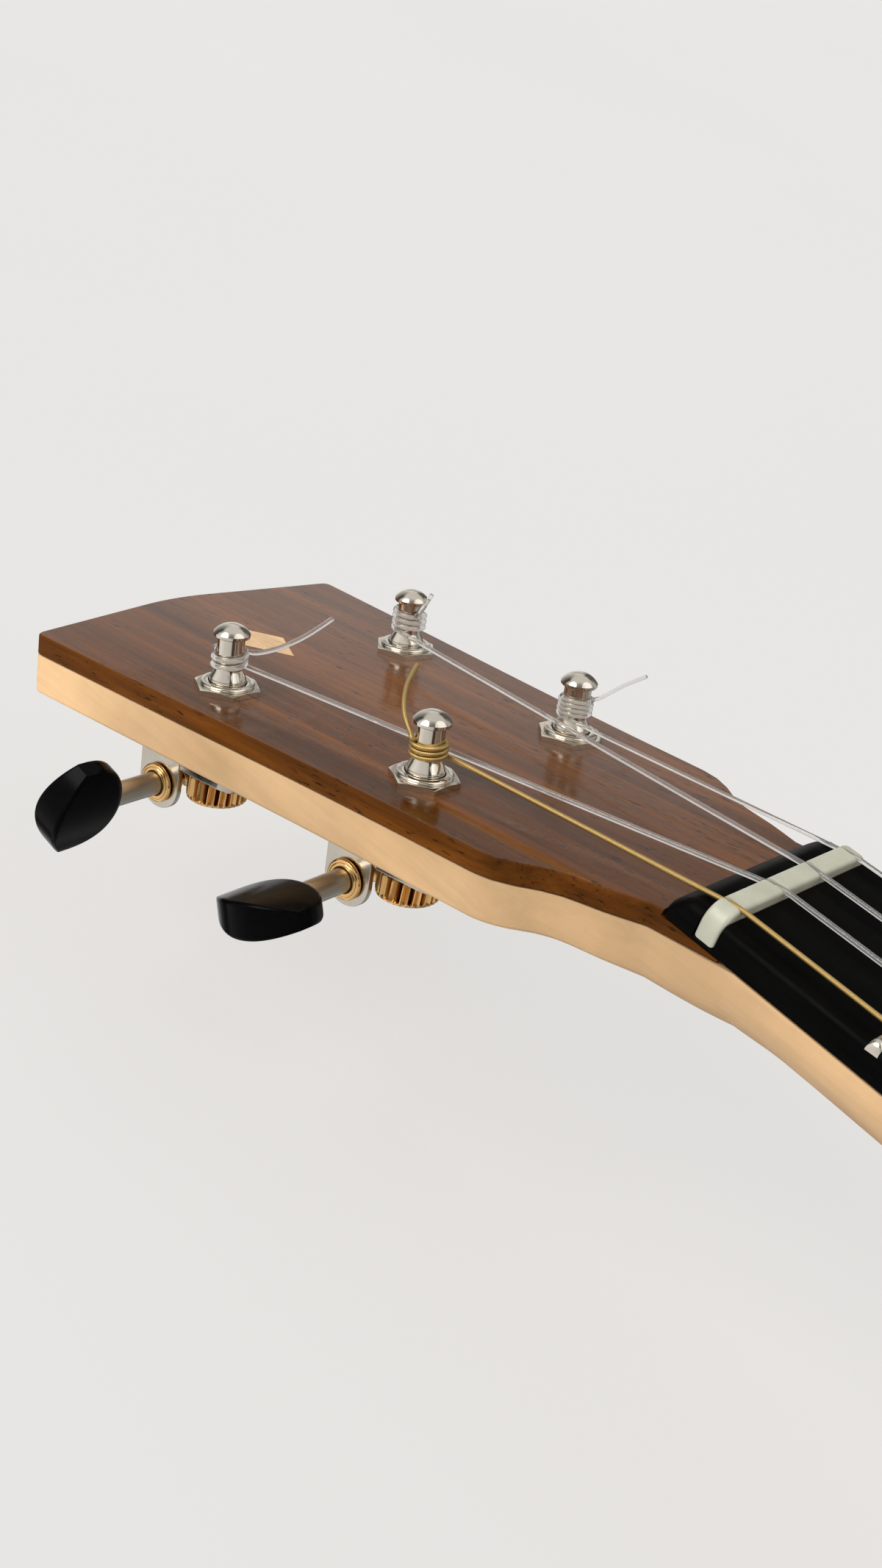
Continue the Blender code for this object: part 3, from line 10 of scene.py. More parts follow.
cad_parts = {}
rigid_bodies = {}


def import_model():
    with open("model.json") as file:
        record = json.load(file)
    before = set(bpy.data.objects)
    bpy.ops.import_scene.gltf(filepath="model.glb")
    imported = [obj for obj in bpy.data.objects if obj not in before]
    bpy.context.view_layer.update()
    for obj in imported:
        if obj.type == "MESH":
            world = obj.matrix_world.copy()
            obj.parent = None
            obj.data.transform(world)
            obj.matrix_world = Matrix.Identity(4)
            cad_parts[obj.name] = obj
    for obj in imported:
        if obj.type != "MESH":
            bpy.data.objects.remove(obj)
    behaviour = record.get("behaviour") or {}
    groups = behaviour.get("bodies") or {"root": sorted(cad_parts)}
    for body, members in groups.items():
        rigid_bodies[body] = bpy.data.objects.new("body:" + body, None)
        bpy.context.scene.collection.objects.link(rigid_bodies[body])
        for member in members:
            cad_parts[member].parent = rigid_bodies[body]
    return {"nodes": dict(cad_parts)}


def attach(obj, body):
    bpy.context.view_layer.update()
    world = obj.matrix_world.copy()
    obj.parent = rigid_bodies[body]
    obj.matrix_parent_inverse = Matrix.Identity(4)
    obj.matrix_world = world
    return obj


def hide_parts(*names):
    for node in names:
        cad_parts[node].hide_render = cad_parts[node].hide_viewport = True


bl_info = {
    "name": "Tenor Ukulele",
    "version": (1, 0, 0),
    "blender": (4, 5, 0),
    "location": "View3D > Sidebar > Ukulele",
    "description": "Dresses a tenor ukulele: woods, strings and open worm-gear tuners",
    "category": "Object",
}

for item in list(bpy.data.objects):
    bpy.data.objects.remove(item, do_unlink=True)
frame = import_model()

# Shapes and places are in millimetres, and piece() brings them to metres.
MM = 0.001
KEYS = ("g", "c", "e", "a")

# Neck and fretboard
NECK_PLANE = 72.0
BODY_END = 152.5
NUT_FRONT = 391.95
NUT_BACK = 395.3
LEDGE_END = 402.55
BOARD_BOTTOM = 72.3
BOARD_TOP = 76.7
NUT_TOP = 78.2
NUT_HALF_WIDTH = 17.6
BODY_HALF_WIDTH = 22.0
FRETS = 18
SCALE = 431.8
DOT_FRETS = (5, 7, 10, 12, 15)

# Headstock, in its own frame: x to the treble side, y to the tip, z out of the faceplate
HEAD_PITCH = math.radians(12.0)
LEDGE_SINK = 0.57
VENEER_BOTTOM = -3.3
CORE_TOP = -3.6
HEAD_BACK = -10.3
BACK_ROUND = 0.7
HEAD_FRAME = (Matrix.Translation((0.0, LEDGE_END, NECK_PLANE + LEDGE_SINK))
              @ Matrix.Rotation(-HEAD_PITCH, 4, "X"))
HEAD_OUTLINE = ((0.0, 17.4), (5.7, 19.4), (11.5, 20.9), (14.5, 22.4), (17.2, 24.4), (21.0, 26.2),
                (24.8, 26.6), (36.3, 27.1), (57.3, 28.3), (86.0, 30.4), (116.6, 32.5))
TIP_RISE = 5.2
HEAD_JOIN = 31.0

# Strings
SADDLE_Y = -41.85
SADDLE_TOP = 82.24
TIE_BLOCK_TOP = 80.3
TIE_HOLE = 77.4
THICKNESS = {"g": 0.77, "c": 0.84, "e": 0.80, "a": 0.66}
NUT_PLACE = {"g": -13.95, "c": -4.0, "e": 4.8, "a": 14.15}
SADDLE_PLACE = {"g": -21.0, "c": -7.0, "e": 7.0, "a": 21.0}

# Tuners
POST = {"g": (-16.56, 42.62), "a": (16.56, 42.62), "c": (-19.96, 83.0), "e": (19.96, 83.0)}
TUNER_TURN = math.radians(3.8)
GEAR_TEETH = 16
GEAR_RADIUS = 4.5
WORM_RADIUS = 1.65
WORM_OFFSET = GEAR_RADIUS + WORM_RADIUS
GEAR_TOP = HEAD_BACK - 4.3
GEAR_FACE = 4.0
WORM_LEVEL = GEAR_TOP - GEAR_FACE / 2
AXIAL_PITCH = 2 * math.pi * GEAR_RADIUS / GEAR_TEETH
THREAD_LEAN = math.atan(AXIAL_PITCH / (2 * math.pi * WORM_RADIUS))
TOOTH_TOP = 0.5
TOOTH_ROOT = 0.7
EAR = 7.2
INNER_EAR = -6.48
PLATE_TOP = HEAD_BACK - 0.3
PLATE_BOTTOM = PLATE_TOP - 1.1
BUTTON_START = EAR + 9.6
BUTTON_TURN = {"g": 16.0, "c": 69.0, "e": 25.0, "a": -50.0}
POST_CORE = 2.15
SHAFT = 1.9

# Body
BODY_CURVES = (((26.0, 152.5), (62.58, 152.5), (85.0, 125.175), (85.0, 90.5)),
               ((85.0, 90.5), (85.0, 65.3), (69.0, 55.7), (69.0, 30.5)),
               ((69.0, 30.5), (69.0, -8.14), (113.0, -22.86), (113.0, -61.5)),
               ((113.0, -61.5), (113.0, -114.28), (62.15, -152.5), (0.0, -152.5)))
SOUND_HOLE = Matrix.Translation((0.0, 59.5, 72.0))


class UkuleleWoods(PropertyGroup):
    """Colours of the woods and of the bone"""

    faceplate: FloatVectorProperty(name="Faceplate", description="Middle tone of the headstock's veneer",
                                   subtype="COLOR", size=3, min=0.0, max=1.0, default=(0.118, 0.036, 0.0035))
    body: FloatVectorProperty(name="Body", description="Middle tone of the top, the back and the ribs",
                              subtype="COLOR", size=3, min=0.0, max=1.0, default=(0.118, 0.036, 0.0035))
    neck: FloatVectorProperty(name="Neck", description="Middle tone of the maple neck and headstock",
                              subtype="COLOR", size=3, min=0.0, max=1.0, default=(0.76, 0.49, 0.255))
    inside: FloatVectorProperty(name="Inside", description="Middle tone of the braces, blocks and linings",
                                subtype="COLOR", size=3, min=0.0, max=1.0, default=(0.62, 0.45, 0.25))
    board: FloatVectorProperty(name="Fretboard", description="Tone of the fretboard and the bridge",
                               subtype="COLOR", size=3, min=0.0, max=1.0, default=(0.0016, 0.0015, 0.0014))
    bone: FloatVectorProperty(name="Bone", description="Tone of the nut and the saddle",
                              subtype="COLOR", size=3, min=0.0, max=1.0, default=(0.56, 0.53, 0.42))


class UkuleleMetals(PropertyGroup):
    """Colours of the metal parts, the buttons and the strings"""

    nickel: FloatVectorProperty(name="Nickel", description="Tone of the posts, nuts and plates",
                                subtype="COLOR", size=3, min=0.0, max=1.0, default=(0.75, 0.69, 0.59))
    gilt: FloatVectorProperty(name="Gilt", description="Tone of the collars and worm wheels",
                              subtype="COLOR", size=3, min=0.0, max=1.0, default=(0.86, 0.53, 0.22))
    winding: FloatVectorProperty(name="String winding", description="Tone of the wire on the wound string",
                                 subtype="COLOR", size=3, min=0.0, max=1.0, default=(0.62, 0.42, 0.15))
    button: FloatVectorProperty(name="Buttons", description="Tone of the tuner buttons",
                                subtype="COLOR", size=3, min=0.0, max=1.0, default=(0.0012, 0.0012, 0.0014))


class UkuleleShapes(PropertyGroup):
    """Small sizes that change how the edges and trim look"""

    faceplate_edge: FloatProperty(name="Faceplate edge", description="Rounding of the faceplate's rim",
                                  subtype="DISTANCE", unit="LENGTH", min=0.0001, max=0.001,
                                  default=0.00045)
    body_edge: FloatProperty(name="Body edge", description="Rounding of the top's and back's rims",
                             subtype="DISTANCE", unit="LENGTH", min=0.0002, max=0.0015, default=0.0009)
    fret_crown: FloatProperty(name="Fret crown", description="Height of a fret over the board",
                              subtype="DISTANCE", unit="LENGTH", min=0.0005, max=0.0012, default=0.001)
    wire_pitch: FloatProperty(name="Winding wire", description="Width of one turn of the string's wire",
                              subtype="DISTANCE", unit="LENGTH", min=0.0001, max=0.0006, default=0.00014)


class UkuleleStudio(PropertyGroup):
    """Backdrop and light"""

    backdrop: FloatVectorProperty(name="Backdrop", description="Colour of the floor and the surroundings",
                                  subtype="COLOR", size=3, min=0.0, max=1.0, default=(0.80, 0.79, 0.775))
    key: FloatProperty(name="Key light", description="Strength of the large lamp over the bass side",
                       min=0.0, default=1.6)
    fill: FloatProperty(name="Fill light", description="Strength of the soft lamp over the body's end",
                        min=0.0, default=0.5)
    walls: FloatProperty(name="Walls", description="Brightness of the surroundings near the horizon",
                         min=0.0, default=1.1)
    ceiling: FloatProperty(name="Ceiling", description="Brightness of the surroundings overhead",
                           min=0.0, default=0.72)


class Tree:
    """A short way to write the nodes of a material or of a node group."""

    def __init__(self, tree):
        self.tree = tree

    def add(self, kind, inputs=None, **settings):
        node = self.tree.nodes.new(kind)
        for key, value in settings.items():
            setattr(node, key, value)
        for key, value in (inputs or {}).items():
            self.feed(node.inputs[key], value)
        return node

    def feed(self, socket, value):
        if isinstance(value, bpy.types.NodeSocket):
            self.tree.links.new(value, socket)
        elif socket.type == "RGBA":
            socket.default_value = (*value, 1.0)
        else:
            socket.default_value = value

    def math(self, operation, a, b=0.0):
        return self.add("ShaderNodeMath", {0: a, 1: b}, operation=operation).outputs[0]

    def stretched(self, vector, x, y, z):
        sizes = self.add("ShaderNodeCombineXYZ", {0: x, 1: y, 2: z}).outputs[0]
        return self.add("ShaderNodeVectorMath", {0: vector, 1: sizes}, operation="MULTIPLY").outputs[0]

    def noise(self, vector, scale, detail=3.0, rough=0.55, distortion=0.0):
        return self.add("ShaderNodeTexNoise", {"Vector": vector, "Scale": scale, "Detail": detail,
                                               "Roughness": rough, "Distortion": distortion}).outputs[0]

    def span(self, value, low, high, a=0.0, b=1.0):
        return self.add("ShaderNodeMapRange", {"Value": value, "From Min": low, "From Max": high,
                                               "To Min": a, "To Max": b}).outputs[0]

    def soft(self, value, low, high):
        return self.add("ShaderNodeMapRange", {"Value": value, "From Min": low, "From Max": high},
                        interpolation_type="SMOOTHSTEP").outputs[0]

    def mix(self, factor, a, b, how="MIX"):
        return self.add("ShaderNodeMix", {0: factor, 6: a, 7: b}, data_type="RGBA",
                        blend_type=how).outputs[2]

    def tint(self, colour, amount):
        """Brighten or darken a colour by a value."""
        grey = self.add("ShaderNodeCombineColor", {0: amount, 1: amount, 2: amount}).outputs[0]
        return self.mix(1.0, colour, grey, "MULTIPLY")

    def bump(self, height, distance, strength=1.0):
        return self.add("ShaderNodeBump", {"Height": height, "Distance": distance,
                                           "Strength": strength}).outputs[0]

    def backdrop_seen(self):
        """One for the camera's rays and for those that passed through a clear piece."""
        path = self.add("ShaderNodeLightPath").outputs
        return self.math("MAXIMUM", path["Is Camera Ray"], path["Is Transmission Ray"])

    def place(self, source="Object", turn=0.0):
        """Coordinates of a piece, turned about X to follow its grain."""
        if source == "run":
            run = self.add("ShaderNodeAttribute", attribute_name="run").outputs["Fac"]
            where = self.add("ShaderNodeSeparateXYZ", {0: self.add("ShaderNodeTexCoord").outputs["Object"]})
            return self.add("ShaderNodeCombineXYZ", {0: where.outputs[2], 1: run}).outputs[0]
        where = self.add("ShaderNodeTexCoord").outputs["Object"]
        if source == "matched":
            parts = self.add("ShaderNodeSeparateXYZ", {0: where}).outputs
            across = self.math("ABSOLUTE", parts[0])
            where = self.add("ShaderNodeCombineXYZ", {0: across, 1: parts[1], 2: parts[2]}).outputs[0]
        return self.add("ShaderNodeMapping", {"Vector": where, "Rotation": (turn, 0.0, 0.0)}).outputs[0]


def node_group(name, inputs, outputs, build):
    """Make a node group on its first use, and find it after that."""
    found = bpy.data.node_groups.get(name)
    if found:
        return found
    tree = bpy.data.node_groups.new(name, "ShaderNodeTree")
    kinds = {"v": "NodeSocketVector", "c": "NodeSocketColor", "f": "NodeSocketFloat"}
    for label, kind in inputs:
        tree.interface.new_socket(name=label, in_out="INPUT", socket_type=kinds[kind])
    for label, kind in outputs:
        tree.interface.new_socket(name=label, in_out="OUTPUT", socket_type=kinds[kind])
    t = Tree(tree)
    t.add("NodeGroupOutput", build(t, t.add("NodeGroupInput").outputs))
    return tree


def build_grain(t, given):
    """Growth stripes, fine fibre, short open pores, flecks and curl, all along Y."""
    where = given["Vector"]
    wide = t.noise(t.stretched(where, 1.0, given["Length"], 1.0), given["Stripes"], 4.0, 0.62, 0.5)
    close = t.noise(t.stretched(where, 1.0, 0.035, 1.0), 520.0, 3.0, 0.6, 0.2)
    line = t.math("ADD", t.math("MULTIPLY", wide, 0.68), t.math("MULTIPLY", close, 0.32))
    colour = t.mix(t.span(line, 0.50, 0.62), given["Middle"], given["Light"])
    colour = t.mix(t.span(line, 0.49, 0.36), colour, given["Dark"])
    fibre = t.noise(t.stretched(where, 1.0, 0.02, 1.0), 1500.0, 3.0, 0.6)
    streak = t.math("MULTIPLY", t.span(fibre, 0.25, 0.75, -1.0, 1.0), given["Streaks"])
    cloud = t.noise(t.stretched(where, 1.0, 0.35, 1.0), given["Clouds"], 2.0)
    shade = t.math("ADD", streak, t.span(cloud, 0.3, 0.7, -0.1, 0.1))
    colour = t.tint(colour, t.math("ADD", shade, 1.0))
    pore = t.span(t.noise(t.stretched(where, 1.0, 0.14, 1.0), 2100.0, 2.0, 0.6), 0.60, 0.66)
    patch = t.span(t.noise(t.stretched(where, 1.0, 0.2, 1.0), 340.0, 2.0), 0.38, 0.56)
    pore = t.math("MULTIPLY", t.math("MULTIPLY", pore, patch), given["Pores"])
    colour = t.mix(pore, colour, t.tint(given["Dark"], 0.3))
    fleck = t.span(t.noise(t.stretched(where, 1.0, 0.22, 1.0), 900.0, 2.0, 0.5), 0.58, 0.72)
    colour = t.mix(t.math("MULTIPLY", fleck, given["Flecks"]), colour, given["Dark"])
    curl = t.span(t.noise(t.stretched(where, 0.3, 1.0, 0.4), 210.0, 2.0), 0.3, 0.7, -1.0, 1.0)
    colour = t.tint(colour, t.math("ADD", t.math("MULTIPLY", curl, given["Curl"]), 1.0))
    return {"Colour": colour, "Pore": pore, "Fibre": fibre}


def build_handling(t, given):
    """Roughness between two values, from soft smudges and finer haze."""
    smudge = t.noise(given["Vector"], 45.0, 3.0, 0.6, 0.8)
    haze = t.noise(given["Vector"], 700.0, 3.0, 0.6)
    both = t.math("ADD", t.math("MULTIPLY", smudge, 0.65), t.math("MULTIPLY", haze, 0.35))
    spread = t.math("SUBTRACT", given["High"], given["Low"])
    share = t.span(both, 0.35, 0.65)
    return {"Roughness": t.math("ADD", t.math("MULTIPLY", share, spread), given["Low"])}


def build_plating(t, given):
    """Metal whose tone deepens in faint clouds and specks, with a height for its bump."""
    cloud = t.noise(given["Vector"], 190.0, 4.0, 0.6)
    speck = t.span(t.noise(given["Vector"], 2600.0, 2.0, 0.5), 0.62, 0.72)
    dull = t.math("MULTIPLY", t.math("ADD", t.span(cloud, 0.35, 0.7), t.math("MULTIPLY", speck, 0.5)),
                  given["Tarnish"])
    return {"Colour": t.mix(dull, given["Colour"], t.tint(given["Colour"], 0.55)), "Height": cloud}


def new_material(name):
    material = bpy.data.materials.new(name + "_finish")
    material.use_nodes = True
    t = Tree(material.node_tree)
    material.node_tree.nodes.clear()
    out = t.add("ShaderNodeOutputMaterial")
    shader = t.add("ShaderNodeBsdfPrincipled")
    t.feed(out.inputs[0], shader.outputs[0])
    return t, shader


def dress_shader(t, shader, **values):
    names = {"colour": "Base Color", "rough": "Roughness", "metal": "Metallic", "coat": "Coat Weight",
             "coat_rough": "Coat Roughness", "normal": "Normal", "through": "Transmission Weight",
             "ior": "IOR", "specular": "Specular IOR Level", "under": "Subsurface Weight",
             "glow": "Emission Color"}
    for key, value in values.items():
        t.feed(shader.inputs[names[key]], value)


def handling(t, where, low, high):
    tree = node_group("handling", [("Vector", "v"), ("Low", "f"), ("High", "f")], [("Roughness", "f")],
                      build_handling)
    return t.add("ShaderNodeGroup", {"Vector": where, "Low": low, "High": high}, node_tree=tree).outputs[0]


def seam(t, where):
    """Dark glue line in the middle of a bookmatched plate."""
    across = t.add("ShaderNodeSeparateXYZ", {0: where}).outputs[0]
    return t.span(across, 0.00005, 0.00022, 0.45, 1.0)


def neck_painted_light(t, where):
    """Painted light and shade on the maple: paler towards the headstock's tip, where more light falls, and darker
    where the headstock leaves the neck, where its curved underside is in shade.
    """
    along = t.add("ShaderNodeSeparateXYZ", {0: where}).outputs[1]
    pale = t.math("MULTIPLY", t.soft(along, 0.484, 0.512), 0.24)
    deep = t.math("MULTIPLY", t.soft(along, 0.370, 0.400), t.math("SUBTRACT", 1.0, t.soft(along, 0.412, 0.430)))
    return t.math("SUBTRACT", t.math("ADD", 0.97, pale), t.math("MULTIPLY", deep, 0.2))


def wood(name, middle, light=1.5, dark=0.42, stripes=260.0, length=0.05, pores=0.0, flecks=0.0, curl=0.0,
         gloss=(0.2, 0.3), specular=0.5, source="Object", turn=0.0, relief=0.00003, streaks=0.13,
         clouds=26.0, shade=None):
    """Wood of three tones, each a share of the middle one."""
    t, shader = new_material(name)
    tree = node_group("grain", [("Vector", "v"), ("Light", "c"), ("Middle", "c"), ("Dark", "c"),
                                ("Stripes", "f"), ("Length", "f"), ("Pores", "f"), ("Flecks", "f"),
                                ("Curl", "f"), ("Streaks", "f"), ("Clouds", "f")],
                      [("Colour", "c"), ("Pore", "f"), ("Fibre", "f")], build_grain)
    where = t.place(source, turn)
    grain = t.add("ShaderNodeGroup", {
        "Vector": where, "Middle": tuple(middle), "Light": tuple(min(1.0, c * light) for c in middle),
        "Dark": tuple(c * dark for c in middle), "Stripes": stripes, "Length": length, "Pores": pores,
        "Flecks": flecks, "Curl": curl, "Streaks": streaks, "Clouds": clouds}, node_tree=tree)
    height = t.math("SUBTRACT", t.math("MULTIPLY", grain.outputs["Fibre"], 0.25), grain.outputs["Pore"])
    colour = grain.outputs["Colour"]
    if shade:
        colour = t.tint(colour, shade(t, where))
    dress_shader(t, shader, colour=colour, rough=handling(t, where, *gloss), specular=specular,
                 normal=t.bump(height, relief))


def metal(name, colour, gloss, tarnish=0.25, hair=0.0, groove=0.0):
    """Plated metal, with a fine brushed grain or dark grooves where asked."""
    t, shader = new_material(name)
    where = t.place()
    tree = node_group("plating", [("Vector", "v"), ("Colour", "c"), ("Tarnish", "f")],
                      [("Colour", "c"), ("Height", "f")], build_plating)
    plate = t.add("ShaderNodeGroup", {"Vector": where, "Colour": tuple(colour), "Tarnish": tarnish},
                  node_tree=tree)
    tone = plate.outputs["Colour"]
    normal = t.bump(plate.outputs["Height"], 0.00001, 0.6)
    if hair:
        normal = t.bump(t.noise(where, 4200.0, 2.0, 0.8), hair)
    if groove:
        depth = t.add("ShaderNodeAttribute", attribute_name="depth").outputs["Fac"]
        tone = t.tint(tone, t.span(depth, 0.15, 0.75, groove, 1.0))
    dress_shader(t, shader, colour=tone, rough=handling(t, where, *gloss), metal=1.0, normal=normal)


def plain(name, colour, gloss, specular, relief=0.0, grain=(1.0, 1.0, 1.0), scale=500.0, spread=0.5, **more):
    """Plastic, bone or close-grained black wood, whose tone wanders a little."""
    t, shader = new_material(name)
    where = t.place()
    cloud = t.noise(t.stretched(where, *grain), scale, 3.0, 0.6)
    tone = t.tint(tuple(colour), t.span(cloud, 0.3, 0.7, 1.0 - spread, 1.0 + spread))
    dress_shader(t, shader, colour=tone, rough=handling(t, where, *gloss), specular=specular, **more)
    if relief:
        dress_shader(t, shader, normal=t.bump(cloud, relief))


def clear_string(name):
    """Clear drawn line with a faint lengthwise haze."""
    t, shader = new_material(name)
    where = t.place("run")
    haze = t.noise(t.stretched(where, 1.0, 0.1, 1.0), 900.0, 2.0)
    tone = t.tint((0.95, 0.935, 0.91), t.span(haze, 0.3, 0.7, 0.88, 1.0))
    dress_shader(t, shader, colour=tone, rough=handling(t, where, 0.03, 0.07), through=0.88, ior=1.45)


def wound_string(name, colour, pitch):
    """Metal wire wound round a core, one turn beside the next."""
    t, shader = new_material(name)
    where = t.place("run")
    wave = t.add("ShaderNodeTexWave", {"Vector": where, "Scale": math.pi / (10.0 * pitch)},
                 wave_type="BANDS", bands_direction="Y", wave_profile="SIN").outputs["Fac"]
    tone = t.tint(tuple(colour), t.span(wave, 0.0, 0.8, 0.6, 1.1))
    dress_shader(t, shader, colour=tone, rough=handling(t, where, 0.28, 0.4), metal=0.9,
                 normal=t.bump(wave, 0.00002))


def build_finishes():
    woods = bpy.context.scene.ukulele_woods
    metals = bpy.context.scene.ukulele_metals
    dark_wood = {"light": 1.6, "dark": 0.52, "stripes": 190.0, "pores": 0.9, "gloss": (0.09, 0.17),
                 "specular": 0.42, "relief": 0.00001}
    wood("faceplate", woods.faceplate, turn=HEAD_PITCH, **dark_wood)
    dull = {**dark_wood, "gloss": (0.35, 0.5), "specular": 0.06}
    wood("faceplate_side", woods.faceplate, turn=HEAD_PITCH, **dull)
    wood("body_plates", woods.body, source="matched", shade=seam, **dark_wood)
    wood("body_ribs", woods.body, source="run", **dark_wood)
    # The maple's colour carries painted light at the headstock's tip and painted shade at its bend.
    wood("maple", woods.neck, 1.05, 0.92, 260.0, 0.12, 0.0, 0.22, 0.03, (0.38, 0.5), 0.35, streaks=0.035,
         clouds=75.0, shade=neck_painted_light)
    wood("maple_trim", woods.neck, 1.1, 0.78, 400.0, 0.2, 0.0, 0.3, 0.0, (0.3, 0.4), 0.4)
    wood("spruce", woods.inside, 1.15, 0.72, 650.0, 0.015, 0.0, 0.05, 0.0, (0.55, 0.7), 0.3)
    plain("ebony", woods.board, (0.36, 0.48), 0.03, 0.00003, (1.0, 0.08, 1.0), 900.0)
    plain("bone", woods.bone, (0.28, 0.38), 0.4, 0.0, (1.0, 1.0, 0.3), 260.0, 0.08, under=0.12)
    plain("shell", (0.62, 0.63, 0.60), (0.12, 0.2), 0.6, 0.0, (1.0, 0.3, 1.0), 900.0, 0.25)
    plain("button_black", metals.button, (0.14, 0.24), 0.04, 0.000012, (1.0, 1.0, 1.0), 800.0)
    plain("shadow_black", (0.012, 0.009, 0.006), (0.5, 0.6), 0.2)
    metal("nickel", metals.nickel, (0.05, 0.13), 0.2)
    metal("plate_nickel", [c * 0.8 for c in metals.nickel], (0.16, 0.28), 0.3)
    metal("satin_nickel", [c * 0.72 for c in metals.nickel], (0.26, 0.38), 0.25, 0.00001)
    metal("gilt", metals.gilt, (0.10, 0.2), 0.3)
    metal("gear_gilt", metals.gilt, (0.18, 0.32), 0.4, 0.0, 0.5)
    metal("fret_nickel", metals.nickel, (0.12, 0.22), 0.2)
    clear_string("clear_string")
    wound_string("wound_string", metals.winding, bpy.context.scene.ukulele_shapes.wire_pitch)


def piece(name, shape, body, finish, replaced=(), place=None, sharp=30.0, even=True):
    """Turn a closed bmesh into a piece that rides on a body and wears a finish."""
    if place is not None:
        bmesh.ops.transform(shape, matrix=place, verts=shape.verts)
    bmesh.ops.scale(shape, vec=(MM, MM, MM), verts=shape.verts)
    bmesh.ops.recalc_face_normals(shape, faces=shape.faces)
    if any(not edge.is_manifold for edge in shape.edges):
        raise RuntimeError(f"{name} has an open edge")
    made = bpy.data.objects.new(name, mesh_from(name, shape))
    bpy.context.scene.collection.objects.link(made)
    made.data.materials.append(bpy.data.materials[finish + "_finish"])
    sharpen(made, sharp)
    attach(made, body)
    if replaced:
        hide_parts(*replaced)
    if even:
        made.modifiers.new("even_normals", "WEIGHTED_NORMAL").keep_sharp = True
    return made


def mesh_from(name, shape):
    mesh = bpy.data.meshes.new(name)
    shape.to_mesh(mesh)
    shape.free()
    return mesh


def sharpen(made, angle):
    made.data.shade_smooth()
    made.data.set_sharp_from_angle(angle=math.radians(angle))


def carve(made, tools, operation="DIFFERENCE", sharp=30.0):
    """Take solids out of a piece, or join them to it, and leave plain mesh behind."""
    even = made.modifiers.get("even_normals")
    if even:
        made.modifiers.remove(even)
    helpers = []
    for shape, place in tools:
        bmesh.ops.transform(shape, matrix=Matrix.Scale(MM, 4) @ place, verts=shape.verts)
        bmesh.ops.recalc_face_normals(shape, faces=shape.faces)
        helper = bpy.data.objects.new("tool", mesh_from("tool", shape))
        bpy.context.scene.collection.objects.link(helper)
        step = made.modifiers.new("carve", "BOOLEAN")
        step.operation = operation
        step.object = helper
        step.solver = "EXACT"
        helpers.append(helper)
    bpy.context.view_layer.update()
    graph = bpy.context.evaluated_depsgraph_get()
    new = bpy.data.meshes.new_from_object(made.evaluated_get(graph), depsgraph=graph)
    old = made.data
    made.modifiers.clear()
    made.data = new
    new.name = old.name
    for mesh in [old] + [helper.data for helper in helpers]:
        bpy.data.meshes.remove(mesh)
    if len(new.polygons) < 4:
        raise RuntimeError(f"{made.name} was cut away")
    sharpen(made, sharp)
    made.modifiers.new("even_normals", "WEIGHTED_NORMAL").keep_sharp = True


def loft(rings, shape=None, run=None):
    """Extrude a closed section through its places, one ring after another."""
    shape = shape or bmesh.new()
    spot = shape.verts.layers.int.get("spot") or shape.verts.layers.int.new("spot")
    if run:
        along = shape.verts.layers.float.get("run") or shape.verts.layers.float.new("run")
    made = bmesh.ops.create_circle(shape, cap_ends=True, segments=len(rings[0]), radius=1.0)
    start = made["verts"][0].link_faces[0]
    for i, loop in enumerate(start.loops):
        loop.vert[spot] = i
    front = list(start.verts)
    edges = list(start.edges)
    for number, ring in enumerate(rings):
        if number:
            grown = bmesh.ops.extrude_edge_only(shape, edges=edges)["geom"]
            front = [v for v in grown if isinstance(v, bmesh.types.BMVert)]
            fresh = set(front)
            edges = [e for e in grown if isinstance(e, bmesh.types.BMEdge)
                     and e.verts[0] in fresh and e.verts[1] in fresh]
        for vert in front:
            vert.co = ring[vert[spot]]
            if run:
                vert[along] = run[number] * MM
    bmesh.ops.edgeloop_fill(shape, edges=edges)
    return shape


def lathe(profile, segments=48, rounding=0.0, steps=3):
    """Spin a profile of (radius, height) about Z, with its corners rounded first."""
    shape = bmesh.new()
    verts = [shape.verts.new((r, 0.0, z)) for r, z in profile]
    for pair in zip(verts, verts[1:]):
        shape.edges.new(pair)
    if profile[0][0] > 0:
        shape.edges.new((verts[-1], verts[0]))
    if rounding:
        corners = [v for v in verts if v.co.x > 0 and len(v.link_edges) == 2]
        bmesh.ops.bevel(shape, geom=corners, offset=rounding, segments=steps, profile=0.5,
                        affect="VERTICES", clamp_overlap=True, material=-1)
    bmesh.ops.spin(shape, geom=shape.verts[:] + shape.edges[:], cent=(0, 0, 0), axis=(0, 0, 1),
                   angle=2 * math.pi, steps=segments, use_merge=True)
    bmesh.ops.remove_doubles(shape, verts=shape.verts, dist=1e-4)
    return shape


def prism(outline, low, high):
    """Extrude a flat outline from one level to another."""
    shape = bmesh.new()
    face = shape.faces.new([shape.verts.new((x, y, low)) for x, y in outline])
    grown = bmesh.ops.extrude_face_region(shape, geom=[face])["geom"]
    top = [v for v in grown if isinstance(v, bmesh.types.BMVert)]
    bmesh.ops.translate(shape, verts=top, vec=(0, 0, high - low))
    bmesh.ops.recalc_face_normals(shape, faces=shape.faces)
    return shape


def rod(radius, low, high, segments=40):
    shape = bmesh.new()
    bmesh.ops.create_cone(shape, cap_ends=True, segments=segments, radius1=radius, radius2=radius,
                          depth=high - low, matrix=Matrix.Translation((0, 0, (low + high) / 2)))
    return shape


def block(low, high):
    shape = bmesh.new()
    middle = (Vector(low) + Vector(high)) / 2
    size = Vector(high) - Vector(low)
    bmesh.ops.create_cube(shape, size=1.0, matrix=Matrix.Translation(middle) @ Matrix.Diagonal((*size, 1.0)))
    return shape


def soften(shape, edges, width, segments=3):
    bmesh.ops.bevel(shape, geom=edges, offset=width, segments=segments, profile=0.5, affect="EDGES",
                    clamp_overlap=True, material=-1)


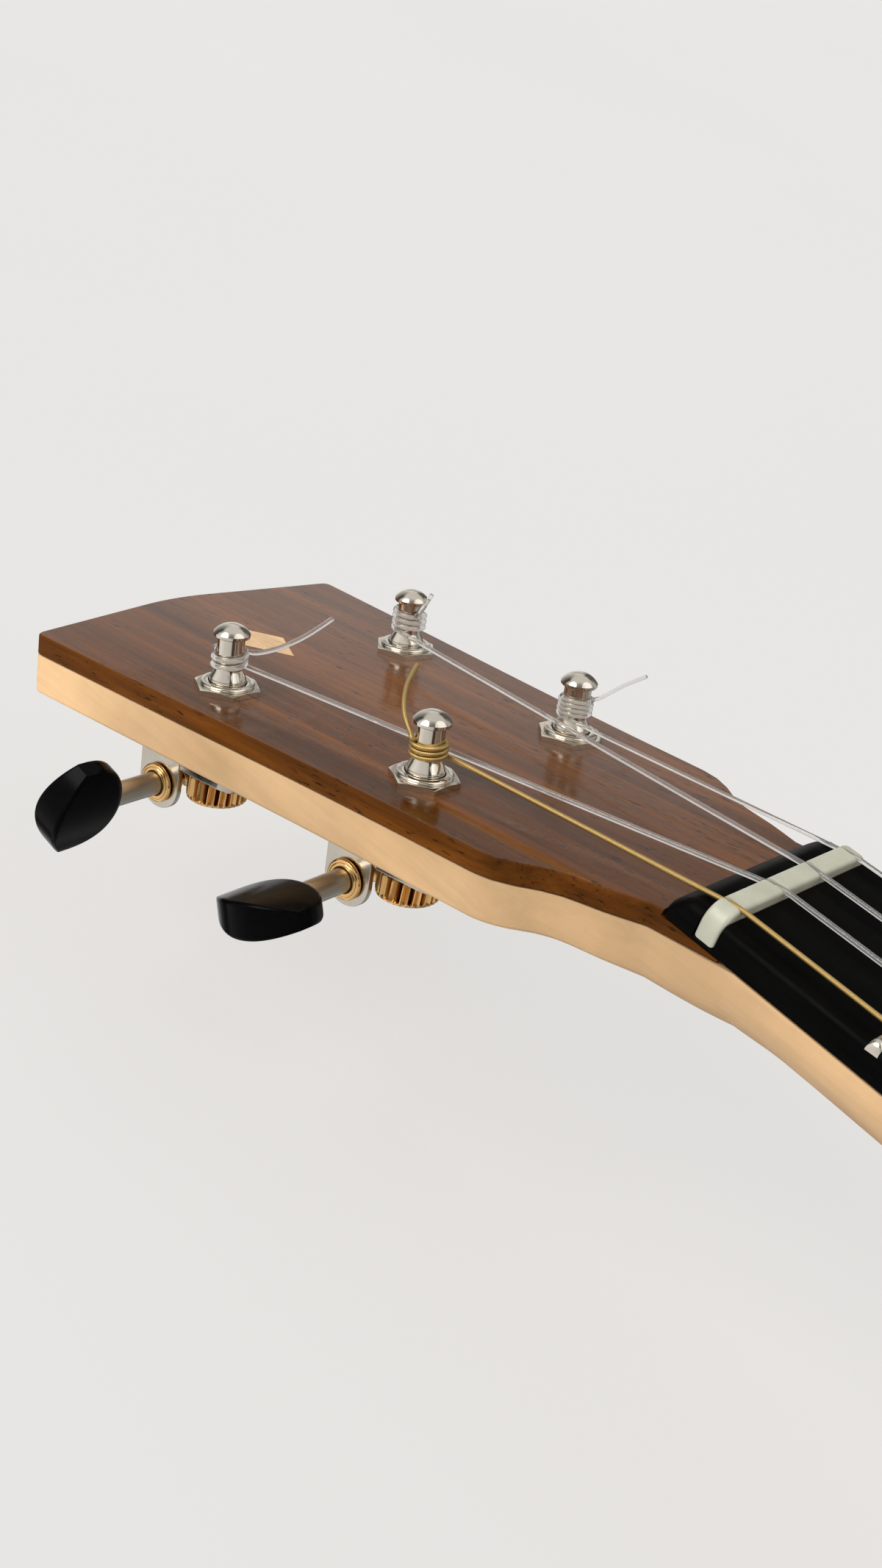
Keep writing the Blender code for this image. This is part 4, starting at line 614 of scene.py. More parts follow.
def rims(shape, axis=2):
    """Edges that lie across an axis, such as the rims of a plate."""
    return [e for e in shape.edges if abs(e.verts[0].co[axis] - e.verts[1].co[axis]) < 1e-4]


def tube(points, thickness, sides=16, run=0.0):
    """Round tube along points, whose run layer holds the length from its start."""
    rings = []
    runs = []
    side = (points[1] - points[0]).orthogonal()
    for i, point in enumerate(points):
        ahead = (points[min(i + 1, len(points) - 1)] - points[max(i - 1, 0)]).normalized()
        side = (side - ahead * side.dot(ahead)).normalized()
        other = ahead.cross(side)
        rings.append([point + (side * math.cos(2 * math.pi * j / sides)
                               + other * math.sin(2 * math.pi * j / sides)) * thickness / 2
                      for j in range(sides)])
        run += (point - points[max(i - 1, 0)]).length
        runs.append(run)
    return loft(rings, run=runs)


def smooth_path(points, steps=8):
    """Curve that passes through all its points."""
    points = [Vector(p) for p in points]
    padded = [points[0] * 2 - points[1]] + points + [points[-1] * 2 - points[-2]]
    out = []
    for i in range(1, len(padded) - 2):
        a, b, c, d = padded[i - 1:i + 3]
        for k in range(steps):
            t = k / steps
            out.append(0.5 * ((2 * b) + (c - a) * t + (2 * a - 5 * b + 4 * c - d) * t * t
                              + (3 * b - a - 3 * c + d) * t ** 3))
    return out + [points[-1]]


def ease(t):
    t = min(max(t, 0.0), 1.0)
    return t * t * (3 - 2 * t)


def spun(axis, degrees):
    return Matrix.Rotation(math.radians(degrees), 4, axis)


def moved(x, y, z):
    return Matrix.Translation((x, y, z))


def dress(names, finish, edge=0.0):
    """Give CAD nodes a finish and, where asked, a live rounding of their edges."""
    for name in names:
        node = frame["nodes"][name]
        node.data.materials.clear()
        node.data.materials.append(bpy.data.materials[finish + "_finish"])
        if edge:
            node.modifiers.new("weld", "WELD").merge_threshold = 1e-5
            step = node.modifiers.new("soft_edges", "BEVEL")
            step.width = edge * MM
            step.segments = 3
            step.limit_method = "ANGLE"
            step.angle_limit = math.radians(30)
            node.modifiers.new("even_normals", "WEIGHTED_NORMAL").keep_sharp = True


def head_half(v):
    """Half width of the headstock on a smooth curve through its measured places."""
    rows = HEAD_OUTLINE
    if v <= rows[0][0]:
        return rows[0][1]
    for i in range(len(rows) - 1):
        (x0, y0), (x1, y1) = rows[i], rows[i + 1]
        if v <= x1:
            before = rows[max(i - 1, 0)]
            after = rows[min(i + 2, len(rows) - 1)]
            m0 = (y1 - before[1]) / (x1 - before[0])
            m1 = (after[1] - y0) / (after[0] - x0)
            h = x1 - x0
            t = (v - x0) / h
            return ((2 * t ** 3 - 3 * t * t + 1) * y0 + (t ** 3 - 2 * t * t + t) * h * m0
                    + (3 * t * t - 2 * t ** 3) * y1 + (t ** 3 - t * t) * h * m1)
    return rows[-1][1]


def bend(start, corner, end, steps, upto=1.0):
    """Round a corner off between two points, or only the first share of it."""
    points = []
    for i in range(steps + 1):
        t = upto * i / steps
        points.append(start * (1 - t) ** 2 + corner * 2 * t * (1 - t) + end * t * t)
    return points


def head_side(start, inset=0.0, steps=44):
    """Treble side of the headstock from a start line to its low peak, with a small round corner."""
    corner_v, half = HEAD_OUTLINE[-1]
    small = max(1.6 - inset, 0.2)
    last = corner_v - small - 0.3
    side = []
    for i in range(steps + 1):
        v = start + (last - start) * i / steps
        side.append(Vector((head_half(v) - inset, v)))
    corner = Vector((half - inset, corner_v - inset * 0.9))
    peak = Vector((0.0, corner_v + TIP_RISE - inset))
    back = (side[-1] - corner).normalized()
    along = (peak - corner).normalized()
    side += bend(corner + back * small, corner, corner + along * small, 5)
    foot = peak - along * 7.0
    return side + bend(foot, peak, Vector((-foot.x, foot.y)), 4, 0.5)


def head_outline(start, inset=0.0):
    side = head_side(start, inset)
    return side + [Vector((-p.x, p.y)) for p in reversed(side[:-1])]


def head_slab(start, levels):
    return loft([[Vector((*p, level)) for p in head_outline(start, inset)] for inset, level in levels])


def wedge_start(level):
    """Where a level of the headstock meets the neck's plane."""
    return (level + LEDGE_SINK / math.cos(HEAD_PITCH)) / math.tan(HEAD_PITCH)


def post_frame(key):
    return HEAD_FRAME @ moved(*POST[key], 0.0)


def outboard(key):
    return -1.0 if key in "gc" else 1.0


def tuner_frame(key):
    angle = math.pi + TUNER_TURN if outboard(key) < 0 else -TUNER_TURN
    return post_frame(key) @ Matrix.Rotation(angle, 4, "Z")


def shaft_frame(key):
    """Frame on the worm's axis, with x towards the button."""
    return tuner_frame(key) @ moved(0.0, outboard(key) * WORM_OFFSET, WORM_LEVEL)


def board_half(y):
    return NUT_HALF_WIDTH + (NUT_FRONT - y) * (BODY_HALF_WIDTH - NUT_HALF_WIDTH) / (NUT_FRONT - BODY_END)


def fret_place(number):
    return NUT_FRONT - SCALE * (1 - 2 ** (-number / 12))


def neck_section(top, half, depth, tilt=0.0, narrowing=1.0, fullness=1.0, square=0.0, steps=24):
    """Flat above and round below, from an ellipse to a fuller, narrower or squarer form."""
    corner = min(BACK_ROUND, half * 0.5)
    right = [(half, 0.0)]
    for i in range(1, steps):
        share = i / (steps - 1)
        angle = math.pi / 2 * share
        x = half * math.cos(angle) ** fullness if i < steps - 1 else 0.0
        sink = math.sin(angle) ** fullness
        round_end = Vector((x * (1 - (1 - narrowing) * sink), -depth * sink))
        if share < 0.3:
            box_end = Vector((half, (corner - depth) * share / 0.3))
        elif share < 0.75:
            turn = math.pi / 2 * (share - 0.3) / 0.45
            box_end = Vector((half, -depth)) + corner * Vector((math.cos(turn) - 1, 1 - math.sin(turn)))
        else:
            box_end = Vector(((half - corner) * (1 - share) / 0.25, -depth))
        right.append(tuple(round_end.lerp(box_end, square)))
    lean = Matrix.Rotation(-tilt, 3, "X")
    loop = right + [(-x, z) for x, z in reversed(right[:-1])]
    return [top + lean @ Vector((x, 0, z)) for x, z in loop]


def neck_depth(y):
    return 15.2 - 2.1 * (y - BODY_END) / (NUT_FRONT - BODY_END)


def neck_rings():
    """Sections of the neck from the heel's cap through the headstock to its tip."""
    near = BODY_END + 0.3
    full = NECK_PLANE - 8.3
    cap, cove, throat = 11.0, 23.0, 15.0
    rings = []
    for i in range(8):
        distance = cap * 0.8 * i / 7
        narrow = 0.62 * math.sqrt(1.0 - (distance / cap) ** 2 * 0.8)
        y = near + distance
        rings.append(neck_section(Vector((0, y, NECK_PLANE)), board_half(y), full, 0.0, narrow, 0.45))
    for i in range(1, 21):
        turn = math.pi / 2 * i / 20
        y = near + cap + cove * (1 - math.cos(turn))
        rise = math.sin(turn)
        rings.append(neck_section(Vector((0, y, NECK_PLANE)), board_half(y),
                                  full + (neck_depth(y) - full) * rise, 0.0, 0.279 + 0.721 * rise,
                                  0.45 + 0.55 * rise))
    place = wedge_start(CORE_TOP)
    knee = (HEAD_FRAME @ Vector((0, place, CORE_TOP))).y
    first = near + cap + cove
    for i in range(1, 12):
        y = first + (knee - throat - first) * i / 12
        rings.append(neck_section(Vector((0, y, NECK_PLANE)), board_half(y), neck_depth(y)))
    approach = [(0.0, throat * (i / 14 - 1)) for i in range(14)]
    for width, along in approach + [(p.x, p.y - place) for p in head_side(place, 0.02, 90)]:
        if along <= 0.0:
            top = Vector((0, knee + along, NECK_PLANE))
        else:
            top = HEAD_FRAME @ Vector((0, place + along, CORE_TOP))
        thin = ease((along + throat * 0.3) / (HEAD_JOIN + throat * 0.3))
        depth = neck_depth(knee) + (CORE_TOP - HEAD_BACK - neck_depth(knee)) * thin
        half = board_half(min(top.y, NUT_FRONT + 4.0))
        half += (max(width, 0.3) - half) * ease((along - 4.0) / 12.0)
        tilt = HEAD_PITCH * ease((along + throat) / (2 * throat))
        rings.append(neck_section(top, half, depth, tilt, 1.0, 1.0, ease((along + 10.0) / (HEAD_JOIN + 12.0))))
    return rings


def board_section(y, top, edge, pull=0.0):
    half = board_half(y) - pull
    fall = min(edge, top - BOARD_BOTTOM - 0.1)
    right = [(half, BOARD_BOTTOM)]
    for i in range(9):
        angle = math.pi / 2 * i / 8
        right.append((half - edge + edge * math.cos(angle), top - fall + fall * math.sin(angle)))
    return [Vector((x, y, z)) for x, z in right] + [Vector((-x, y, z)) for x, z in reversed(right)]


def nut_crossing(key):
    """Where a string bends over the front of its slot in the nut."""
    return Vector((NUT_PLACE[key], NUT_FRONT + 0.35, NUT_TOP - 0.1))


# How each string lies on its post, in the post's frame: the way round, the height where it arrives
# and its rise in a turn, the whole turns, the angle and height of the hole that it goes into, and
# the points of the loose end.
WRAPS = {
    "g": {"way": 1, "foot": 3.92, "rise": 0.80, "turns": 2, "hole": (-30.0, 6.45),
          "loose": ((-2.35, 1.42, 6.65), (-2.1, 1.9, 7.05), (-1.66, 2.94, 7.6), (-0.84, 4.53, 8.3),
                    (0.64, 6.42, 9.0), (2.66, 8.42, 9.7), (5.29, 10.56, 10.3), (7.77, 12.13, 10.9),
                    (9.96, 13.37, 11.4))},
    "c": {"way": 1, "foot": 3.7, "rise": 1.25, "turns": 2, "hole": (150.0, 6.7),
          "loose": ((2.3, -1.75, 6.5), (3.4, -2.85, 6.6), (6.26, -3.4, 6.9), (9.81, -2.89, 7.1),
                    (13.63, -2.09, 7.4), (18.08, -0.67, 7.8), (21.9, 0.62, 8.2))},
    "e": {"way": -1, "foot": 4.1, "rise": 1.0, "turns": 3, "hole": (68.0, 7.35),
          "loose": ((-1.15, -2.7, 7.4), (-1.1, -3.05, 7.75), (-0.74, -3.1, 8.2), (0.51, -2.85, 9.4),
                    (2.14, -2.43, 10.6))},
    "a": {"way": -1, "foot": 4.0, "rise": 0.76, "turns": 4, "hole": (121.0, 7.0),
          "loose": ((1.65, -2.15, 6.95), (2.9, -2.4, 7.1), (5.6, -2.2, 7.4), (9.2, -1.85, 7.75),
                    (12.9, -1.75, 8.05), (15.3, -1.75, 8.2))},
}


def winding_path(key):
    """Turns laid closely on the post from where the string arrives, then through the hole."""
    wrap = WRAPS[key]
    way = wrap["way"]
    radius = POST_CORE + THICKNESS[key] / 2 + 0.03
    here = post_frame(key).inverted() @ nut_crossing(key)
    heading = math.atan2(-here.y, way * radius - here.x)
    start = heading - way * math.pi / 2
    angle, height = math.radians(wrap["hole"][0]), wrap["hole"][1]
    turns = wrap["turns"] + (way * (angle - way * 0.15 - start) / (2 * math.pi)) % 1.0
    steps = int(turns * 36)
    points = []
    for i in range(steps + 1):
        now = start + way * 2 * math.pi * turns * i / steps
        points.append(Vector((radius * math.cos(now), radius * math.sin(now),
                              wrap["foot"] + wrap["rise"] * turns * i / steps)))
    inward = Vector((math.cos(angle), math.sin(angle), 0.0))
    level = Vector((0.0, 0.0, height))
    through = [level + inward * r for r in (1.9, 0.9, -0.9, -2.2)]
    tail = smooth_path([points[-6], points[-3], *through, *wrap["loose"]], 6)
    return points[:-6] + tail, points[0]


def string_path(key, foot):
    """From the post over the nut and the saddle, through the bridge's hole and into its knot."""
    nut = nut_crossing(key)
    x = SADDLE_PLACE[key]
    half = THICKNESS[key] / 2
    crown = SADDLE_TOP + half + 0.02
    top = TIE_BLOCK_TOP + half + 0.02
    start = post_frame(key) @ foot
    ends = Vector((x, SADDLE_Y, crown))
    slope = (start - nut).normalized()
    path = [start, start.lerp(nut, 0.5)]
    path += bend(nut + slope * 1.4, nut, nut + (ends - nut).normalized() * 1.4, 6)
    for t in (0.1, 0.3, 0.5, 0.7, 0.9):
        path.append(nut.lerp(ends, t))
    knot = ((0, 3, crown), (0, 0.4, crown), (0, -1.2, crown - 0.35), (0, -3.4, crown - 2.0),
            (0, -5.6, TIE_HOLE + 0.75), (0, -7.2, TIE_HOLE + 0.05), (0, -9.5, TIE_HOLE), (0, -14.0, TIE_HOLE),
            (0, -15.45, TIE_HOLE + 0.35), (0, -15.75, TIE_HOLE + 1.3), (0, -15.6, top - 0.5),
            (0, -14.7, top + 0.25), (0.1, -13.2, top + half * 1.6), (0.3, -11.6, top + half * 1.4),
            (0.7, -9.6, top), (1.05, -7.6, top), (1.3, -6.55, top - 0.7), (1.05, -6.2, top - 1.9),
            (0.3, -5.95, TIE_HOLE - 0.1), (-0.7, -6.0, TIE_HOLE + 0.35), (-1.3, -6.25, top - 1.5),
            (-1.25, -6.7, top - 0.4), (-1.1, -7.7, top), (-1.0, -9.8, top), (-0.7, -11.9, top),
            (0.1, -13.4, top - 0.02), (1.2, -14.2, top), (2.6, -14.9, top + 0.35), (3.6, -15.3, top + 0.9))
    return path + smooth_path([Vector((x + a, SADDLE_Y + b, c)) for a, b, c in knot], 5)


def half_outline(inset=0.0, steps=28):
    """Treble half of the body's outline, from the neck's side to the tail."""
    points = [Vector((0.0, 152.5)), Vector((26.0, 152.5))]
    for curve in BODY_CURVES:
        a, b, c, d = [Vector(p) for p in curve]
        for i in range(1, steps + 1):
            t = i / steps
            s = 1 - t
            points.append(a * s ** 3 + b * 3 * s * s * t + c * 3 * s * t * t + d * t ** 3)
    last = len(points) - 1
    out = []
    for i, point in enumerate(points):
        along = (points[min(i + 1, last)] - points[max(i - 1, 0)]).normalized()
        if i in (0, last):
            along = Vector((1.0 if i == 0 else -1.0, 0.0))
        out.append(point + Vector((along.y, -along.x)) * inset)
    return out


def body_panel(name, node, low, high, soft_low, soft_high):
    """Plate of the body with rounded rims."""
    levels = [(soft_low * (1 - math.sin(a)), low + soft_low * (1 - math.cos(a)))
              for a in (0.0, math.pi / 6, math.pi / 3, math.pi / 2)]
    levels += [(soft_high * (1 - math.cos(a)), high - soft_high * (1 - math.sin(a)))
               for a in (0.0, math.pi / 6, math.pi / 3, math.pi / 2)]
    rings = []
    for inset, z in levels:
        right = half_outline(inset)
        rings.append([Vector((*p, z)) for p in right] + [Vector((-p.x, p.y, z)) for p in right[-2:0:-1]])
    return piece(name, loft(rings), "body", "body_plates", (node,))


class UKULELE_OT_finishes(Operator):
    """Mix the finishes of the woods, metals, strings and plastics"""

    bl_idname = "ukulele.finishes"
    bl_label = "Finishes"

    def execute(self, context):
        build_finishes()
        return {"FINISHED"}


class UKULELE_OT_stage(Operator):
    """Floor, surroundings, lamps and camera"""

    bl_idname = "ukulele.stage"
    bl_label = "Studio"

    def execute(self, context):
        studio = context.scene.ukulele_studio
        tone = tuple(studio.backdrop)
        shape = bmesh.new()
        bmesh.ops.create_grid(shape, x_segments=1, y_segments=1, size=40.0)
        bmesh.ops.translate(shape, verts=shape.verts, vec=(0, 0, -0.0004))
        floor = bpy.data.objects.new("floor", mesh_from("floor", shape))
        context.scene.collection.objects.link(floor)
        t, shader = new_material("floor_paper")
        cloud = t.noise(t.place(), 3.0, 2.0)
        paper = t.tint(tone, t.span(cloud, 0.3, 0.7, 0.995, 1.005))
        share = t.math("MULTIPLY", t.backdrop_seen(), 0.8)
        dress_shader(t, shader, colour=t.tint(paper, t.math("SUBTRACT", 1.0, share)), rough=0.9, specular=0.0,
                     glow=t.tint(paper, share))
        shader.inputs["Emission Strength"].default_value = 1.0
        floor.data.materials.append(bpy.data.materials["floor_paper_finish"])
        floor.visible_glossy = False

        world = bpy.data.worlds.new("studio")
        context.scene.world = world
        world.use_nodes = True
        world.node_tree.nodes.clear()
        t = Tree(world.node_tree)
        towards = t.add("ShaderNodeTexCoord").outputs["Generated"]
        x, y, z = t.add("ShaderNodeSeparateXYZ", {0: towards}).outputs
        turn = t.span(t.math("ARCTAN2", y, x), -math.pi, math.pi)
        ramp = t.add("ShaderNodeValToRGB", {0: turn})
        stops = ramp.color_ramp.elements
        for place, level in ((0.0, 0.66), (0.10, 0.60), (0.155, 0.52), (0.168, 0.05), (0.215, 0.07), (0.232, 0.80),
                             (0.27, 0.62), (0.32, 0.22), (0.40, 0.26), (0.47, 0.50), (0.52, 0.10),
                             (0.575, 0.12), (0.60, 0.68), (0.66, 0.72), (0.72, 0.35), (0.78, 0.06),
                             (0.81, 0.08), (0.84, 0.72), (0.90, 0.85), (1.0, 0.66)):
            stop = stops[0] if place == 0.0 else stops[-1] if place == 1.0 else stops.new(place)
            stop.color = (level, level * 0.995, level * 0.985, 1.0)
        around = t.tint(ramp.outputs["Color"], studio.walls)
        above = tuple(c / max(tone) * studio.ceiling for c in tone)
        behind = t.add("ShaderNodeVectorMath", {0: towards, 1: (-0.47, -0.35, 0.81)},
                       operation="DOT_PRODUCT").outputs["Value"]
        above = t.tint(above, t.span(behind, 0.82, 0.97, 1.0, 0.3))
        room = t.mix(t.soft(z, 0.58, 0.78), around, above)
        slant = t.math("ADD", z, t.math("MULTIPLY", y, 0.525))
        beam = t.math("MULTIPLY", t.soft(slant, 0.575, 0.61), t.math("SUBTRACT", 1.0, t.soft(slant, 0.70, 0.78)))
        ahead = t.add("ShaderNodeVectorMath", {0: towards, 1: (0.74, 0.62, 0.26)},
                      operation="DOT_PRODUCT").outputs["Value"]
        beam = t.math("MULTIPLY", beam, t.soft(ahead, 0.93, 0.97))
        room = t.tint(room, t.span(beam, 0.0, 1.0, 1.0, 0.5))
        back = t.add("ShaderNodeBackground", {"Color": t.mix(t.backdrop_seen(), room, tone), "Strength": 1.0})
        t.add("ShaderNodeOutputWorld", {0: back.outputs[0]})

        lamps = (("key", (-0.62, 0.30, 0.72), studio.key, 34.0, (1.0, 0.985, 0.96)),
                 ("fill", (0.20, -0.60, 0.77), studio.fill, 60.0, (0.97, 0.985, 1.0)))
        for name, towards, strength, spread, colour in lamps:
            light = bpy.data.lights.new(name, "SUN")
            light.energy = strength
            light.angle = math.radians(spread)
            light.color = colour
            lamp = bpy.data.objects.new(name, light)
            lamp.visible_transmission = False
            lamp.rotation_mode = "QUATERNION"
            lamp.rotation_quaternion = Vector(towards).to_track_quat("Z", "Y")
            context.scene.collection.objects.link(lamp)

        lens = bpy.data.cameras.new("camera")
        lens.lens = 40.62
        lens.sensor_width = 36.0
        lens.clip_start = 0.01
        lens.clip_end = 100.0
        camera = bpy.data.objects.new("camera", lens)
        context.scene.collection.objects.link(camera)
        context.scene.camera = camera
        ahead = Vector((0.697, 0.4965, -0.5165)).normalized()
        right = ahead.cross(Vector((0.206, 0.552, 0.808))).normalized()
        camera.location = (-0.1937, 0.31497, 0.1964)
        camera.rotation_mode = "QUATERNION"
        camera.rotation_quaternion = Matrix((right, right.cross(ahead), -ahead)).transposed().to_quaternion()
        context.scene.view_settings.view_transform = "Standard"
        return {"FINISHED"}


class UKULELE_OT_soundboard(Operator):
    """Bookmatched top with its sound hole and the rosette's channel"""

    bl_idname = "ukulele.soundboard"
    bl_label = "Soundboard"

    def execute(self, context):
        edge = context.scene.ukulele_shapes.body_edge / MM
        top = body_panel("top_plate", "soundboard", 69.8, 72.0, 0.1, edge)
        hole = lathe([(0, -6), (34, -6), (34, -0.4), (34.12, -0.1), (34.4, 0.15), (34.4, 4), (0, 4)], 128)
        channel = lathe([(36.9, -1.1), (42.6, -1.1), (42.6, 3), (36.9, 3)], 128)
        carve(top, [(hole, SOUND_HOLE), (channel, SOUND_HOLE)])
        return {"FINISHED"}


class UKULELE_OT_rosette(Operator):
    """Pale rosette ring between two dark lines"""

    bl_idname = "ukulele.rosette"
    bl_label = "Rosette"

    def execute(self, context):
        bands = (("rosette_inner_line", 36.95, 37.7, "ebony", "ebony"),
                 ("rosette_ring", 37.72, 41.78, "maple_trim", "maple"),
                 ("rosette_outer_line", 41.8, 42.55, "ebony", "ebony"))
        for name, inner, outer, finish, slot in bands:
            band = lathe([(inner, -1.0), (outer, -1.0), (outer, 0.0), (inner, 0.0)], 128, 0.05, 2)
            piece(name, band, "body", finish, ("rosette",) if slot == "maple" else (), SOUND_HOLE)
        return {"FINISHED"}


class UKULELE_OT_back(Operator):
    """Bookmatched flat back"""

    bl_idname = "ukulele.back"
    bl_label = "Back"

    def execute(self, context):
        body_panel("back_plate", "back_panel", 0.0, 2.2, context.scene.ukulele_shapes.body_edge / MM, 0.1)
        return {"FINISHED"}


class UKULELE_OT_ribs(Operator):
    """Bent ribs of the bass and the treble side, with the grain along them"""

    bl_idname = "ukulele.ribs"
    bl_label = "Ribs"

    def execute(self, context):
        outer, inner = half_outline(), half_outline(2.0)
        run = [0.0]
        for a, b in zip(outer, outer[1:]):
            run.append(run[-1] + (b - a).length)
        for side, sign in (("bass", -1.0), ("treble", 1.0)):
            rings = []
            for p, q in zip(outer, inner):
                a, b = sign * max(p.x, 0.02), sign * max(q.x, 0.02)
                rings.append([Vector((a, p.y, 2.22)), Vector((a, p.y, 69.78)), Vector((b, q.y, 69.78)),
                              Vector((b, q.y, 2.22))])
            piece("rib_" + side, loft(rings, run=run), "body", "body_ribs", ("side_" + side,))
        return {"FINISHED"}


class UKULELE_OT_inside(Operator):
    """Blocks, linings, braces and bridge plate inside the body"""

    bl_idname = "ukulele.inside"
    bl_label = "Blocks and braces"

    def execute(self, context):
        dress(("neck_block", "tail_block", "top_lining_bass", "top_lining_treble", "back_lining_bass",
               "back_lining_treble", "upper_brace", "lower_brace", "fan_brace_bass", "fan_brace_middle",
               "fan_brace_treble", "upper_back_brace", "lower_back_brace"), "spruce")
        dress(("bridge_plate",), "maple_trim")
        return {"FINISHED"}


class UKULELE_OT_bridge(Operator):
    """Tie bridge with its bone saddle"""

    bl_idname = "ukulele.bridge"
    bl_label = "Bridge and saddle"

    def execute(self, context):
        dress(("bridge",), "ebony", 0.4)
        dress(("saddle",), "bone", 0.3)
        return {"FINISHED"}


class UKULELE_OT_neck(Operator):
    """Maple neck with its heel and the headstock's core, in one piece"""

    bl_idname = "ukulele.neck"
    bl_label = "Neck"

    def execute(self, context):
        neck = piece("neck_wood", loft(neck_rings()), "body", "maple", ("neck",), None, 38)
        carve(neck, [(rod(4.1, -14, 2), post_frame(key)) for key in KEYS], "DIFFERENCE", 38)
        dress(("heel_cap",), "ebony", 0.3)
        return {"FINISHED"}


class UKULELE_OT_faceplate(Operator):
    """Glossy veneer with a softly rounded rim, bored for the posts, with a small pale inlay"""

    bl_idname = "ukulele.faceplate"
    bl_label = "Faceplate"

    def execute(self, context):
        edge = context.scene.ukulele_shapes.faceplate_edge / MM
        levels = [(0.0, VENEER_BOTTOM)] + [(edge * (1 - math.cos(a)), -edge * (1 - math.sin(a)))
                                           for a in (0.0, math.pi / 6, math.pi / 3, math.pi / 2)]
        slab = head_slab(wedge_start(VENEER_BOTTOM + 0.3), levels)
        plate = piece("faceplate", slab, "body", "faceplate", ("headstock_veneer",), HEAD_FRAME)
        over_neck = block((-50, LEDGE_END - 60, NECK_PLANE), (50, LEDGE_END - 2.0, NECK_PLANE + 20))
        bores = [(rod(4.1, -8, 4), post_frame(key)) for key in KEYS]
        carve(plate, [(over_neck, Matrix.Identity(4))] + bores)
        plate.data.materials.append(bpy.data.materials["faceplate_side_finish"])
        up = HEAD_FRAME.to_3x3() @ Vector((0, 0, 1))
        for face in plate.data.polygons:
            face.material_index = int(abs(face.normal.dot(up)) < 0.9)
        dress(("headstock_inlay",), "maple_trim")
        return {"FINISHED"}


class UKULELE_OT_fretboard(Operator):
    """Black board with rounded edges, the nut's seat, the strip behind it and its position dots"""

    bl_idname = "ukulele.fretboard"
    bl_label = "Fretboard"

    def execute(self, context):
        end = fret_place(FRETS) - 6.0
        edge = 1.4
        rings = [board_section(end + ahead, BOARD_TOP - drop, edge)
                 for ahead, drop in ((0.0, 0.5), (0.15, 0.15), (0.5, 0.0))]
        rings += [board_section(end + (NUT_FRONT - end) * i / 8, BOARD_TOP, edge) for i in range(1, 8)]
        seat = BOARD_BOTTOM + 0.5
        rings += [board_section(NUT_FRONT - 0.1, BOARD_TOP, edge), board_section(NUT_FRONT - 0.08, seat, 0.4),
                  board_section(NUT_BACK + 0.08, seat, 0.4)]
        ledge = BOARD_BOTTOM + 4.3
        for i in range(15):
            t = i / 14
            drop = 2.6 * max(0.0, (t - 0.35) / 0.65) ** 1.7
            pull = 0.9 * (1 - math.sqrt(1 - max(0.0, (t - 0.85) / 0.151) ** 2))
            y = NUT_BACK + 0.1 + (LEDGE_END - 2.1 - NUT_BACK) * t
            rings.append(board_section(y, ledge - drop, 1.9, pull))
        board = piece("fretboard_wood", loft(rings), "body", "ebony", ("fretboard",), None, 35)
        dots = [(x, (fret_place(n) + fret_place(n - 1)) / 2)
                for n in DOT_FRETS for x in ((-8.0, 8.0) if n == 12 else (0.0,))]
        carve(board, [(rod(2.55, -0.8, 2, 32), moved(x, y, BOARD_TOP)) for x, y in dots], "DIFFERENCE", 35)
        for number, (x, y) in enumerate(dots):
            piece(f"board_dot_{number}", lathe([(0, -0.75), (2.5, -0.75), (2.5, 0.0), (0, 0.02)], 32, 0.08, 2),
                  "body", "shell", (), moved(x, y, BOARD_TOP))
        for number, fret in enumerate(DOT_FRETS):
            y = (fret_place(fret) + fret_place(fret - 1)) / 2
            dot = lathe([(0, 0.0), (0.9, 0.0), (0.9, 0.08), (0, 0.1)], 24, 0.03, 2)
            piece(f"side_dot_{number}", dot, "body", "shell", (),
                  moved(-board_half(y), y, 74.6) @ spun("Y", -90))
        return {"FINISHED"}


class UKULELE_OT_frets(Operator):
    """Eighteen fret wires with rounded crowns and sloping ends"""

    bl_idname = "ukulele.frets"
    bl_label = "Frets"

    def execute(self, context):
        crown = context.scene.ukulele_shapes.fret_crown / MM
        arc = [math.pi * k / 10 for k in range(11)]
        shape = bmesh.new()
        for number in range(1, FRETS + 1):
            y = fret_place(number)
            half = board_half(y) - 0.1
            rings = []
            for x, top in ((-half, -0.3), (-half + 0.4, 0.4), (-half + 1.0, 1.0), (half - 1.0, 1.0),
                           (half - 0.4, 0.4), (half, -0.3)):
                lip = min(-0.05, top - 0.3)
                ring = [Vector((x, y + 0.95 * math.cos(a), BOARD_TOP + crown * (lip + (top - lip) * math.sin(a))))
                        for a in arc]
                sunk = BOARD_TOP - 1.0
                rings.append([Vector((x, y + 0.95, sunk))] + ring + [Vector((x, y - 0.95, sunk))])
            loft(rings, shape)
        piece("frets", shape, "body", "fret_nickel", (), None, 50)
        return {"FINISHED"}


